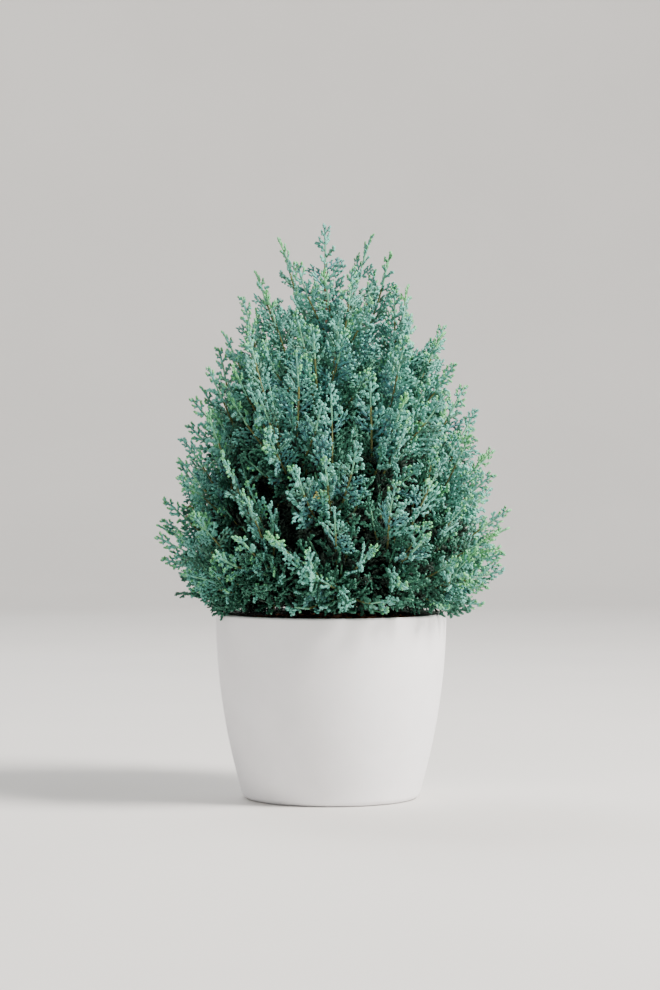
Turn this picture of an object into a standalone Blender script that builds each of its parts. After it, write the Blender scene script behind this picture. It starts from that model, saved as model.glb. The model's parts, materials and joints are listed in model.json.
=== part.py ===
"""Potted Lawson cypress: a young, dense, blue-green conifer in a plain white pot.

Metres, +Z up. The origin is the centre of the pot's flat underside, and the front of the plant faces -Y.
The trunk stands on the soil and runs up through the crown. Shoots leave it in whorls, bend up as they
go out, and end on the crown's egg-shaped profile. A lower shoot is a bare bough and then a mass of
foliage; an upper one is foliage from the trunk on. Each mass is one stem with a slim core and toothed
plumes. The plumes' tips are spread evenly over the crown: each plume branches off the stem nearest to
its tip, and keeps to the space that lies nearer to that stem than to any other.
"""

import math
import random
from dataclasses import dataclass

import bmesh
import bpy
import numpy as np
from mathutils import Vector

SEED = 7
GAP = 0.0003  # between pieces that touch on the real plant

# White pot: straight at the rim, drawn in towards the foot
POT_HEIGHT = 0.120
POT_RIM_RADIUS = 0.075
POT_FOOT_RADIUS = 0.057
POT_WALL = 0.006
POT_FLOOR = 0.006
POT_FOOT_ROUND = 0.0048
POT_FOOT_SPREAD = 0.0012  # the wall's lowest part stands this much outside the foot radius
POT_LIP_ROUND = 0.0012
POT_SIDES = 38

# Black growing pot inside the white one
LINER_HEIGHT = 0.1120
LINER_RIM_RADIUS = 0.0675
LINER_FOOT_RADIUS = 0.0500
LINER_WALL = 0.0012
LINER_SIDES = 32

# Potting soil, flat where the trunk stands
GROUND = 0.1170
SOIL_EDGE_DROP = 0.0014
SOIL_FLAT_RADIUS = 0.012

# Trunk: a single leader with a slight lean
TRUNK_TOP = 0.336
TRUNK_FOOT_RADIUS = 0.0042
TRUNK_TIP_RADIUS = 0.0009
TRUNK_LEAN = -0.0043
TRUNK_WANDER = 0.0009
ROOT_FLARE = 0.0028
ROOT_FLARE_HEIGHT = 0.0035
TRUNK_SIDES = 9

# Crown profile: an egg, widest low down
CROWN_RADIUS = 0.115
WIDEST_HEIGHT = 0.175
EGG_TOP = 0.385  # where the egg would close, above the blunt top
EGG_POWER = 1.4
EGG_ROUNDNESS = 0.65
SKIRT_DEPTH = 0.084
CROWN_SHIFT = 0.0015  # the crown is a little fuller on the right
LEADER_TOP = 0.373

# Limbs
LIMB_BEND = 1.5  # a limb's height grows with this power of its reach
BOUGH_SIDES = 5
AZIMUTH_SCATTER = 6.0  # degrees
TIP_SCATTER = 0.005
SWEEP_SCATTER = 9.0  # degrees that a limb turns sideways on its way out

# Foliage: a mass's stem and core
STEM_TIP_RADIUS = 0.0006
CORE_SIDES = 4
CORE_RADIUS = 0.0085
CORE_FLATNESS = 0.7
CORE_SWELL = ((0.0, 0.0), (0.1, 0.35), (0.35, 1.0), (0.65, 0.8), (0.88, 0.35), (1.0, 0.0))

# Foliage: plumes, each a twig with its sprays as one toothed blade
PLUMES = 190  # besides those at the tips of the shoots
PLUME_WIDTH = 0.45  # of its length
PLUME_LEAST_WIDTH = 0.004
PLUME_THICKNESS = 0.26  # of its width
ROOT_SINK = 0.0006  # of a plume, past the middle of its stem
LENGTH_PER_TOOTH = 0.026
MOST_TEETH = 3
PLUME_ANGLE = 40.0  # degrees between a plume and its stem
SHOOT_TIP_LENGTH = 0.042
LOWEST_TIP = 0.1225
HIGHEST_TIP = 0.364
TIP_DEPTH = 0.12  # most that a tip lies inside the profile, as a share of its radius
LEAST_TIP_DISTANCE = 0.012  # between a plume's tip and its stem
SPACE_MARGIN = 0.0009
LIMB_MARGIN = 0.0012
OVERREACH = 0.001  # most that a plume may pass the crown's profile
LENGTH_TRIES = 12
SHORTEST_SHARE = 0.4  # of a plume's full length, below which it is left out
GROWING_TRIES = 5
MERGE_DISTANCE = 2e-6
GOLDEN_ANGLE = math.pi * (3.0 - math.sqrt(5.0))


@dataclass(frozen=True)
class Whorl:
    """Shoots that leave the trunk at about one height. Azimuth 0 is +X and 90 is away from the front."""

    name: str
    count: int
    trunk_height: float
    tip_height: float
    first_azimuth: float
    bare_share: float  # of the limb, as a bare bough; 0 where foliage starts at the trunk
    base_radius: float
    arch: float = 0.0  # how far the middle of the limb stands above a plain rise


WHORLS = (
    Whorl("skirt", 6, 0.1205, 0.1315, 30.0, 0.34, 0.0015, arch=0.010),
    Whorl("sweep", 6, 0.1275, 0.1740, 0.0, 0.36, 0.0019),
    Whorl("lower", 5, 0.1360, 0.2200, -18.0, 0.34, 0.0018),
    Whorl("middle", 5, 0.1660, 0.2660, 18.0, 0.30, 0.0016),
    Whorl("upper", 4, 0.2040, 0.3070, -8.0, 0.0, 0.0012),
    Whorl("high", 3, 0.2440, 0.3430, 45.0, 0.0, 0.0010),
    Whorl("top", 2, 0.2860, 0.3660, 4.0, 0.0, 0.0009),
)


def clear_scene():
    """Remove what the startup scene holds."""
    for obj in list(bpy.data.objects):
        bpy.data.objects.remove(obj)


def material(name, colour, roughness):
    """A Principled material with one base colour, given as linear RGB."""
    made = bpy.data.materials.new(name)
    made.use_nodes = True
    shader = made.node_tree.nodes["Principled BSDF"]
    shader.inputs["Base Color"].default_value = (*colour, 1.0)
    shader.inputs["Roughness"].default_value = roughness
    shader.inputs["Metallic"].default_value = 0.0
    made.diffuse_color = (*colour, 1.0)
    return made


def link(name, shape, finish, smooth_angle=None):
    """Turn a bmesh into a named object with its material. Round pieces give the angle that stays sharp."""
    mesh = bpy.data.meshes.new(name)
    shape.to_mesh(mesh)
    shape.free()
    mesh.materials.append(finish)
    if smooth_angle is not None:
        mesh.shade_smooth()
        mesh.set_sharp_from_angle(angle=math.radians(smooth_angle))
    obj = bpy.data.objects.new(name, mesh)
    bpy.context.scene.collection.objects.link(obj)
    return obj


def lathe(profile, sides):
    """Spin a profile of (radius, height) points, which starts and ends on the axis, into a closed body."""
    shape = bmesh.new()
    points = [shape.verts.new((radius, 0.0, height)) for radius, height in profile]
    edges = [shape.edges.new(pair) for pair in zip(points, points[1:])]
    bmesh.ops.spin(
        shape, geom=points + edges, axis=(0, 0, 1), cent=(0, 0, 0), steps=sides, angle=2 * math.pi
    )
    bmesh.ops.remove_doubles(shape, verts=shape.verts, dist=1e-5)
    bmesh.ops.recalc_face_normals(shape, faces=shape.faces)
    return shape


def arc(centre, radius, start, end, steps):
    """Points of (radius, height) on a circle's arc, with angles in degrees from the outward horizontal."""
    angles = [math.radians(start + (end - start) * k / steps) for k in range(steps + 1)]
    return [(centre[0] + radius * math.cos(a), centre[1] + radius * math.sin(a)) for a in angles]


def pot_radius(height):
    """Outer radius of the white pot's wall at a height."""
    down = (POT_HEIGHT - height) / POT_HEIGHT
    return POT_RIM_RADIUS - (POT_RIM_RADIUS - POT_FOOT_RADIUS) * down**2


def build_pot(finish):
    """White pot: flat underside, rounded foot, curved wall, flat lip with eased edges, plain inside."""
    foot = (POT_FOOT_RADIUS + POT_FOOT_SPREAD - POT_FOOT_ROUND, POT_FOOT_ROUND)
    profile = [(0.0, 0.0)] + arc(foot, POT_FOOT_ROUND, -90, -12, 3)
    wall_heights = [POT_HEIGHT * share for share in (0.17, 0.34, 0.52, 0.70, 0.88)]
    profile += [(pot_radius(height), height) for height in wall_heights]
    lip = POT_HEIGHT - POT_LIP_ROUND
    profile += arc((POT_RIM_RADIUS - POT_LIP_ROUND, lip), POT_LIP_ROUND, 0, 90, 2)
    mouth = POT_RIM_RADIUS - POT_WALL
    profile += arc((mouth + POT_LIP_ROUND, lip), POT_LIP_ROUND, 90, 180, 2)
    profile += [(pot_radius(height) - POT_WALL, height) for height in reversed(wall_heights[:5:2])]
    profile += [(pot_radius(POT_FLOOR) - POT_WALL, POT_FLOOR), (0.0, POT_FLOOR)]
    return link("pot", lathe(profile, POT_SIDES), finish, smooth_angle=35)


def liner_radius(height):
    """Outer radius of the growing pot at a height above its own foot."""
    return LINER_FOOT_RADIUS + (LINER_RIM_RADIUS - LINER_FOOT_RADIUS) * height / LINER_HEIGHT


def build_liner(finish):
    """Growing pot: a thin tapered cup that stands on the white pot's floor."""
    foot = POT_FLOOR + GAP
    profile = [
        (0.0, foot),
        (LINER_FOOT_RADIUS, foot),
        (LINER_RIM_RADIUS, foot + LINER_HEIGHT),
        (LINER_RIM_RADIUS - LINER_WALL, foot + LINER_HEIGHT),
        (liner_radius(LINER_WALL) - LINER_WALL, foot + LINER_WALL),
        (0.0, foot + LINER_WALL),
    ]
    return link("growing_pot", lathe(profile, LINER_SIDES), finish, smooth_angle=35)


def build_soil(finish):
    """Soil that fills the growing pot to just under its rim, and sinks a little towards the wall."""
    foot = POT_FLOOR + GAP
    low = foot + LINER_WALL + GAP
    edge = GROUND - SOIL_EDGE_DROP
    inset = LINER_WALL + GAP
    profile = [
        (0.0, low),
        (liner_radius(low - foot) - inset, low),
        (liner_radius(edge - foot) - inset, edge),
        (0.62 * LINER_RIM_RADIUS, GROUND - 0.3 * SOIL_EDGE_DROP),
        (SOIL_FLAT_RADIUS, GROUND),
        (0.0, GROUND),
    ]
    return link("soil", lathe(profile, LINER_SIDES), finish, smooth_angle=35)


def trunk_share(height):
    """How far up the trunk a height is, from 0 at the ground to 1 at its top."""
    return min(max((height - GROUND) / (TRUNK_TOP - GROUND), 0.0), 1.0)


def trunk_centre(height):
    """The trunk's centre at a height: it leans a little and wanders to and fro."""
    share = trunk_share(height)
    sway = TRUNK_WANDER * math.sin(2.2 * math.pi * share)
    return Vector((TRUNK_LEAN * share + sway, -sway, height))


def trunk_radius(height):
    """The trunk's radius at a height, with the root flare at the ground."""
    taper = (1 - trunk_share(height)) ** 0.9
    flare = ROOT_FLARE * math.exp(-(height - GROUND) / ROOT_FLARE_HEIGHT)
    return TRUNK_TIP_RADIUS + (TRUNK_FOOT_RADIUS - TRUNK_TIP_RADIUS) * taper + flare


def crown_radius(height):
    """Radius of the crown's egg-shaped profile at a height."""
    if height > WIDEST_HEIGHT:
        up = min((height - WIDEST_HEIGHT) / (EGG_TOP - WIDEST_HEIGHT), 1.0)
        return CROWN_RADIUS * (1 - up**EGG_POWER) ** EGG_ROUNDNESS
    down = min((WIDEST_HEIGHT - height) / SKIRT_DEPTH, 1.0)
    return CROWN_RADIUS * math.sqrt(1 - down * down)


class Limb:
    """The line of one shoot, from the trunk's centre to its tip on the crown's profile."""

    def __init__(self, whorl, index):
        rng = random.Random(f"{SEED} {whorl.name} {index}")
        self.name = f"{whorl.name}_{index + 1}"
        self.whorl = whorl
        turn = whorl.first_azimuth + 360.0 * index / whorl.count
        self.azimuth = math.radians(turn + rng.uniform(-AZIMUTH_SCATTER, AZIMUTH_SCATTER))
        self.sweep = math.radians(rng.uniform(-SWEEP_SCATTER, SWEEP_SCATTER))
        self.start_height = whorl.trunk_height + 0.5 * rng.uniform(0.0, TIP_SCATTER)
        tip = whorl.tip_height + rng.uniform(-TIP_SCATTER, TIP_SCATTER)
        self.rise = tip - self.start_height
        self.reach = crown_radius(tip) + CROWN_SHIFT * math.cos(self.azimuth)

    def point(self, share):
        """A point on the limb, from 0 at the trunk's centre to 1 at the tip."""
        turned = self.azimuth + self.sweep * share * (1 - share)
        out = self.reach * share
        up = self.rise * share**LIMB_BEND + self.whorl.arch * math.sin(math.pi * share)
        centre = trunk_centre(self.start_height)
        return centre + Vector((out * math.cos(turned), out * math.sin(turned), up))

    def radius(self, share):
        """The limb's radius, tapering to its tip."""
        return STEM_TIP_RADIUS + (self.whorl.base_radius - STEM_TIP_RADIUS) * (1 - share)

    def trunk_edge(self):
        """The share at which the limb stands clear of the trunk's bark."""
        return (trunk_radius(self.start_height) + GAP) / self.reach

    def foliage_start(self):
        """The share at which the foliage's stem begins, clear of its bough or of the trunk."""
        if self.whorl.bare_share:
            return self.whorl.bare_share + GAP / self.reach
        return self.trunk_edge()


class Leader:
    """The line of the leading shoot, which carries on from the trunk's top."""

    name = "leader"
    whorl = Whorl("leader", 1, TRUNK_TOP, LEADER_TOP, 0.0, 0.0, TRUNK_TIP_RADIUS)

    def point(self, share):
        """A point on the leader, from 0 at the trunk's top to 1 at its tip."""
        rise = (LEADER_TOP - TRUNK_TOP - GAP) * share
        return trunk_centre(TRUNK_TOP) + Vector((0.0, 0.0, GAP + rise))

    def radius(self, share):
        """The leader's radius, tapering to its tip."""
        return TRUNK_TIP_RADIUS + (STEM_TIP_RADIUS - TRUNK_TIP_RADIUS) * share

    def foliage_start(self):
        """The leader is foliage all the way."""
        return 0.0


def side_and_out(tangent, across):
    """Unit vectors at right angles to a limb: its side, along a level line across it, and its outer side."""
    side = (across - tangent * (across.dot(tangent) / tangent.dot(tangent))).normalized()
    return side, side.cross(tangent).normalized()


def loft(points, radii, sides, across, flatness=1.0, first_normal=None):
    """A closed body of rings along a line. Rings may be flattened, and the first may face another way."""
    shape = bmesh.new()
    rings = []
    for index, (point, radius) in enumerate(zip(points, radii)):
        ahead = points[min(index + 1, len(points) - 1)]
        behind = points[max(index - 1, 0)]
        tangent = (ahead - behind).normalized()
        if index == 0 and first_normal is not None:
            tangent = first_normal
        side, out = side_and_out(tangent, across)
        ring = []
        for corner in range(sides):
            angle = 2 * math.pi * corner / sides
            offset = side * math.cos(angle) + out * (flatness * math.sin(angle))
            ring.append(shape.verts.new(point + offset * radius))
        rings.append(ring)
    for low, high in zip(rings, rings[1:]):
        for corner in range(sides):
            after = (corner + 1) % sides
            shape.faces.new((low[corner], low[after], high[after], high[corner]))
    shape.faces.new(rings[0][::-1])
    shape.faces.new(rings[-1])
    bmesh.ops.recalc_face_normals(shape, faces=shape.faces)
    return shape


def build_trunk(finish):
    """Trunk from its flat cut on the soil, with its root flare, to its top under the leader."""
    rise = TRUNK_TOP - GROUND - GAP
    shares = (0.0, 0.012, 0.035, 0.09, 0.2, 0.32, 0.44, 0.56, 0.68, 0.8, 0.9, 1.0)
    heights = [GROUND + GAP + rise * share for share in shares]
    points = [trunk_centre(height) for height in heights]
    radii = [trunk_radius(height) for height in heights]
    upright = Vector((0.0, 0.0, 1.0))
    shape = loft(points, radii, TRUNK_SIDES, Vector((1.0, 0.0, 0.0)), first_normal=upright)
    return link("trunk", shape, finish, smooth_angle=50)


def outward(limb, share=0.5):
    """Level direction from the trunk to a point on the limb."""
    away = limb.point(share) - trunk_centre(limb.point(share).z)
    away.z = 0.0
    return away.normalized() if away.length > 1e-6 else Vector((0.0, -1.0, 0.0))


def crosswise(limb):
    """Level direction across the limb."""
    return Vector((0.0, 0.0, 1.0)).cross(outward(limb))


def build_bough(limb, finish):
    """Bare bough from the trunk's bark to where it enters its mass of foliage."""
    start, end = limb.trunk_edge(), limb.whorl.bare_share
    shares = [start + (end - start) * k / 3 for k in range(4)]
    points = [limb.point(share) for share in shares]
    radii = [limb.radius(share) for share in shares]
    shape = loft(points, radii, BOUGH_SIDES, crosswise(limb), first_normal=outward(limb, start))
    return link(f"bough_{limb.name}", shape, finish, smooth_angle=60)


def plume_outline(length, width, teeth):
    """Half outline of a plume as (along, across) points: for each tooth its notch, then its tip."""
    half = []
    for tooth in range(teeth):
        notch = (tooth + 0.15) / (teeth + 0.6)
        tip = (tooth + 1.0) / (teeth + 0.6)
        spread = 0.5 * width * math.sin(math.pi * (0.14 + 0.74 * tip)) ** 0.8
        root = (-ROOT_SINK, 0.06 * width)
        half += [root if tooth == 0 else (notch * length, 0.38 * spread), (tip * length, spread)]
    return half


def plume(root, along, face, length):
    """A plume: a toothed blade with a thick ridge on both faces, from its root to its pointed tip.

    Returns its points as an array and its triangles as index triples.
    """
    across = face.cross(along).normalized()
    face = along.cross(across).normalized()
    width = PLUME_WIDTH * length + PLUME_LEAST_WIDTH
    teeth = min(max(round(length / LENGTH_PER_TOOTH), 2), MOST_TEETH)
    half = plume_outline(length, width, teeth)
    flat = [(x, -y, 0.0) for x, y in half] + [(length, 0.0, 0.0)] + [(x, y, 0.0) for x, y in half]
    lift = [0.5 * PLUME_THICKNESS * width * (1.0 - 0.16 * tooth) for tooth in range(teeth)]
    middle = [0.45 * half[2 * tooth][0] + 0.55 * half[2 * tooth + 1][0] for tooth in range(teeth)]
    peaks = [(x, 0.0, z) for x, z in zip(middle, lift)] + [(x, 0.0, -z) for x, z in zip(middle, lift)]
    points = [root + along * x + across * y + face * z for x, y, z in flat + peaks]
    apex = 2 * teeth
    right = list(range(apex + 1))
    left = list(range(apex + 1, 2 * apex + 1)) + [apex]
    top = 2 * apex + 1
    faces = []
    for ridge, turn in ((top, 1), (top + teeth, -1)):
        made = [(ridge, left[0], right[0])]
        for tooth in range(teeth):
            peak = ridge + tooth
            for side, order in ((right, 1), (left, -1)):
                notch, tip, after = side[2 * tooth : 2 * tooth + 3]
                made += [(peak, notch, tip)[::order], (peak, tip, after)[::order]]
                if tooth + 1 < teeth:
                    made.append((peak, after, peak + 1)[::order])
        faces += [triangle[::turn] for triangle in made]
    return np.array(points), faces


def samples(points, faces):
    """A blade's points and the middles of its triangles and edges, for testing where it would lie."""
    corners = points[np.array(faces)]
    middles = [corners.mean(axis=1)] + [(corners[:, k] + corners[:, k - 1]) / 2 for k in range(3)]
    return np.concatenate([points] + middles)


def line_distance(points, line):
    """Distance from each point to a line of straight pieces."""
    starts, ends = line[:-1], line[1:]
    pieces = ends - starts
    offset = points[:, None, :] - starts[None, :, :]
    share = np.clip((offset * pieces).sum(2) / (pieces * pieces).sum(1), 0.0, 1.0)
    nearest = starts[None, :, :] + share[:, :, None] * pieces[None, :, :]
    return np.linalg.norm(points[:, None, :] - nearest, axis=2).min(1)


def line_of(limb, start, end, steps=8):
    """A stretch of a limb as an array of points."""
    return np.array([limb.point(start + (end - start) * k / steps) for k in range(steps + 1)])


def tips_on_crown():
    """Points spread evenly over the crown's profile by a golden-angle spiral, from the bottom up."""
    rng = random.Random(f"{SEED} tips")
    heights = np.linspace(LOWEST_TIP, HIGHEST_TIP, 200)
    radii = np.array([crown_radius(height) for height in heights])
    area = np.hypot(np.gradient(radii), np.gradient(heights)) * radii
    share = np.cumsum(area) / area.sum()
    tips = []
    for index in range(PLUMES):
        height = float(np.interp((index + 0.5) / PLUMES, share, heights))
        level = crown_radius(height) * (1.0 - rng.uniform(0.0, TIP_DEPTH))
        turn = index * GOLDEN_ANGLE
        tips.append(Vector((CROWN_SHIFT + level * math.cos(turn), level * math.sin(turn), height)))
    return tips


class Crown:
    """All shoots of the plant, the tips that their plumes grow to, and the space that each has."""

    def __init__(self):
        self.limbs = [Limb(whorl, index) for whorl in WHORLS for index in range(whorl.count)]
        self.leader = Leader()
        self.shoots = self.limbs + [self.leader]
        self.stems = {s.name: line_of(s, s.foliage_start(), 1.0) for s in self.shoots}
        self.bare = [
            (line_of(limb, limb.trunk_edge(), limb.whorl.bare_share), limb.whorl.base_radius)
            for limb in self.limbs
            if limb.whorl.bare_share
        ]
        heights = np.linspace(GROUND, TRUNK_TOP, 12)
        self.trunk_line = np.array([trunk_centre(height) for height in heights])
        self.tips = {shoot.name: [] for shoot in self.shoots}
        for tip in tips_on_crown():
            point = np.array([tip])
            distance = {name: float(line_distance(point, line)[0]) for name, line in self.stems.items()}
            nearest = min(distance, key=distance.get)
            if distance[nearest] > LEAST_TIP_DISTANCE:
                self.tips[nearest].append(tip)

    def room(self, shoot, share):
        """Radius that a core may have at a point on its shoot, between the other limbs and the trunk."""
        point = np.array([shoot.point(share)])
        others = [line for name, line in self.stems.items() if name != shoot.name]
        others += [line for line, _ in self.bare]
        between_stems = 0.36 * min(float(line_distance(point, line)[0]) for line in others)
        if point[0, 2] > TRUNK_TOP:
            return between_stems
        bark = float(line_distance(point, self.trunk_line)[0]) - trunk_radius(point[0, 2]) - LIMB_MARGIN
        return min(between_stems, 0.75 * bark)

    def fits(self, shoot, points):
        """Whether every point lies in the shoot's own space and clear of limbs, pot and soil."""
        own = line_distance(points, self.stems[shoot.name])
        for name, line in self.stems.items():
            if name != shoot.name and (line_distance(points, line) < own + SPACE_MARGIN).any():
                return False
        for line, radius in self.bare:
            if (line_distance(points, line) < radius + LIMB_MARGIN).any():
                return False
        trunk = line_distance(points, self.trunk_line)
        thick = np.array([trunk_radius(height) for height in points[:, 2]])
        if (trunk < thick + LIMB_MARGIN)[points[:, 2] < TRUNK_TOP].any():
            return False
        level = np.hypot(points[:, 0] - CROWN_SHIFT, points[:, 1])
        crown = np.array([crown_radius(height) for height in points[:, 2]])
        over_rim = level < POT_RIM_RADIUS + LIMB_MARGIN
        too_low = over_rim & (points[:, 2] < POT_HEIGHT + LIMB_MARGIN)
        return not (too_low.any() or (level > crown + OVERREACH).any())


def root_share(shoot, tip):
    """Where on its stem a plume to this tip branches off: where it makes the usual angle with the stem."""
    start = shoot.foliage_start()
    wanted = math.radians(PLUME_ANGLE)
    shares = [start + (1.0 - start) * (0.05 + 0.80 * k / 30) for k in range(31)]

    def difference(share):
        tangent = shoot.point(share + 0.02) - shoot.point(share - 0.02)
        return abs(tangent.angle(tip - shoot.point(share)) - wanted)

    return min(shares, key=difference)


def shoot_tip(shoot):
    """Two crossed plumes that end the shoot, with their roots in its stem."""
    start = shoot.foliage_start()
    tip = shoot.point(1.0)
    share = 1.0 - (1.0 - start) * min(SHOOT_TIP_LENGTH / (tip - shoot.point(start)).length, 0.6)
    root = shoot.point(share)
    side, out = side_and_out(tip - root, crosswise(shoot))
    first = plume(root, (tip - root).normalized(), out, (tip - root).length)
    root = shoot.point(share + 0.03)
    tip = root.lerp(tip, 0.86) + 0.0015 * (side + out)
    second = plume(root, (tip - root).normalized(), side, (tip - root).length)
    return [first, second]


def grow_plumes(crown, shoot, attempt):
    """The plumes of one mass, each as (points, triangles). One that won't fit is tried shorter."""
    rng = random.Random(f"{SEED} plumes {shoot.name} {attempt}")
    made = shoot_tip(shoot)
    for tip in crown.tips[shoot.name]:
        root = shoot.point(root_share(shoot, tip) + rng.uniform(-0.02, 0.02))
        along = (tip - root).normalized()
        away = Vector((tip.x, tip.y, 0.3 * tip.z)).normalized()
        scatter = Vector((rng.uniform(-1, 1), rng.uniform(-1, 1), rng.uniform(-1, 1)))
        face = away + 0.7 * scatter
        for step in range(LENGTH_TRIES):
            shorter = 1.0 - (1.0 - SHORTEST_SHARE) * step / (LENGTH_TRIES - 1)
            blade = plume(root, along, face, (tip - root).length * shorter)
            if crown.fits(shoot, samples(*blade)):
                made.append(blade)
                break
    return made


def core_of(crown, shoot):
    """The mass's stem, swelling into a slim flattened core and tapering to its tip."""
    start = shoot.foliage_start()
    points, radii = [], []
    for along, fullness in CORE_SWELL:
        share = start + 0.97 * (1.0 - start) * along
        stem = shoot.radius(share)
        plump = min(CORE_RADIUS, crown.room(shoot, share))
        points.append(shoot.point(share))
        radii.append(stem + fullness * max(plump - stem, 0.0))
    on_trunk = not shoot.whorl.bare_share and shoot is not crown.leader
    facing = outward(shoot, start) if on_trunk else None
    return loft(points, radii, CORE_SIDES, crosswise(shoot), flatness=CORE_FLATNESS, first_normal=facing)


def join(core, others):
    """Fuse a collection of overlapping pieces into one body, and clear the collection away."""
    pieces = bpy.data.collections.new("pieces")
    bpy.context.scene.collection.children.link(pieces)
    for index, (points, faces) in enumerate(others):
        mesh = bpy.data.meshes.new(f"piece_{index}")
        mesh.from_pydata(points, [], faces)
        pieces.objects.link(bpy.data.objects.new(f"piece_{index}", mesh))
    union = core.modifiers.new("union", "BOOLEAN")
    union.operation = "UNION"
    union.operand_type = "COLLECTION"
    union.collection = pieces
    union.solver = "MANIFOLD"
    graph = bpy.context.evaluated_depsgraph_get()
    fused = bpy.data.meshes.new_from_object(core.evaluated_get(graph))
    core.modifiers.clear()
    core.data = fused
    for piece in list(pieces.objects):
        mesh = piece.data
        bpy.data.objects.remove(piece)
        bpy.data.meshes.remove(mesh)
    bpy.data.collections.remove(pieces)


def shells(shape):
    """The separate closed surfaces of a bmesh, as lists of faces."""
    left, found = set(shape.faces), []
    while left:
        queue = [left.pop()]
        surface = []
        while queue:
            face = queue.pop()
            surface.append(face)
            for edge in face.edges:
                for other in edge.link_faces:
                    if other in left:
                        left.discard(other)
                        queue.append(other)
        found.append(surface)
    return found


def volume_of(surface):
    """Signed volume inside a list of faces."""
    total = 0.0
    for face in surface:
        corners = [vert.co for vert in face.verts]
        for second, third in zip(corners[1:], corners[2:]):
            total += corners[0].dot(second.cross(third)) / 6.0
    return total


def tidy(obj):
    """Merge points that all but coincide, drop loose scraps and fill sealed hollows.

    Returns whether what is left is closed, with two faces at every edge.
    """
    shape = bmesh.new()
    shape.from_mesh(obj.data)
    bmesh.ops.triangulate(shape, faces=shape.faces)
    bmesh.ops.remove_doubles(shape, verts=shape.verts, dist=MERGE_DISTANCE)
    bmesh.ops.dissolve_degenerate(shape, edges=shape.edges, dist=MERGE_DISTANCE)
    found = shells(shape)
    main_body = max(found, key=volume_of)
    extra = [face for surface in found if surface is not main_body for face in surface]
    bmesh.ops.delete(shape, geom=extra, context="FACES")
    closed = all(edge.is_manifold for edge in shape.edges) and all(vert.is_manifold for vert in shape.verts)
    shape.to_mesh(obj.data)
    shape.free()
    return closed


def build_mass(crown, shoot, finish):
    """One mass of foliage: its stem, core and plumes, fused into one body.

    Where plumes meet edge to edge the fusing leaves a seam: the mass is then grown again another way,
    and after two failures with fewer plumes.
    """
    obj = bpy.data.objects.new(f"foliage_{shoot.name}", bpy.data.meshes.new("foliage"))
    bpy.context.scene.collection.objects.link(obj)
    for attempt in range(GROWING_TRIES):
        core_of(crown, shoot).to_mesh(obj.data)
        plumes = grow_plumes(crown, shoot, attempt)
        join(obj, plumes[: len(plumes) - max(attempt - 1, 0)])
        if tidy(obj):
            break
    obj.data.materials.append(finish)
    return obj


def main():
    """Build the pot, the soil and the plant."""
    clear_scene()
    build_pot(material("matte_white_ceramic", (0.68, 0.68, 0.69), 0.55))
    build_liner(material("black_plastic", (0.02, 0.02, 0.02), 0.6))
    build_soil(material("potting_soil", (0.035, 0.02, 0.013), 0.95))
    bark = material("cypress_bark", (0.13, 0.07, 0.035), 0.8)
    leaf = material("cypress_foliage", (0.09, 0.2, 0.18), 0.6)
    build_trunk(bark)
    crown = Crown()
    for limb in crown.limbs:
        if limb.whorl.bare_share:
            build_bough(limb, bark)
    for shoot in crown.shoots:
        build_mass(crown, shoot, leaf)


main()
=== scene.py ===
"""Dressed scene of a small potted Lawson cypress in a plain white pot.

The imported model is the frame: every piece here rides on its one body and stands for some of its solids.
The plant is grown again by the rule of those solids and carried on to finer growth. Shoots leave the
trunk in whorls. Plumes branch off the shoots towards tips that a spiral spreads evenly over the crown.
Flat sprays stand in two rows along every plume, and each spray is a scaly axis with short scaly fingers.

Lengths are in metres, +Z is up and the front faces -Y.
"""

from __future__ import annotations

import json
import logging
import math
import random
from collections.abc import Iterable, Iterator, Sequence
from dataclasses import dataclass, field
from enum import Enum

import bpy
import numpy as np
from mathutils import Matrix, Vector, noise

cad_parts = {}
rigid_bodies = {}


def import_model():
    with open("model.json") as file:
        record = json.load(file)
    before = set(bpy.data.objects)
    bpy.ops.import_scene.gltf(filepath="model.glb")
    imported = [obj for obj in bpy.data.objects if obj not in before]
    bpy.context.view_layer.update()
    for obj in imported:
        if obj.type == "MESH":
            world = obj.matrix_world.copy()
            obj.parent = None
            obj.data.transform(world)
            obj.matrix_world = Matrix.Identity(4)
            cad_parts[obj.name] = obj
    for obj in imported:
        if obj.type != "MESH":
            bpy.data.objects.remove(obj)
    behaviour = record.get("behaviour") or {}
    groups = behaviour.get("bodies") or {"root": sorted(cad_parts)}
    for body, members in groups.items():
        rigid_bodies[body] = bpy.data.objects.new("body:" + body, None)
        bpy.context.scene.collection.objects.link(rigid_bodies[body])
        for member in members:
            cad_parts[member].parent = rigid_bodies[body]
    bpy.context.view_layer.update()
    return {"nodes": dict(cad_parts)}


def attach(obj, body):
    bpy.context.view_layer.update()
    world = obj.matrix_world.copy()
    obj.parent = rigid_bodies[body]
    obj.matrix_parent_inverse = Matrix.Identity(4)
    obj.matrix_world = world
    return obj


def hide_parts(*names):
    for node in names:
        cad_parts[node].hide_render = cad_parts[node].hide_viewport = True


log = logging.getLogger("cypress")

BODY = "root"
SEED = 7
UP = Vector((0.0, 0.0, 1.0))
GAP = 0.0003  # between one part and the next
MILLIMETRE = 0.001
GOLDEN_ANGLE = math.pi * (3.0 - math.sqrt(5.0))


# Finishes


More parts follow.
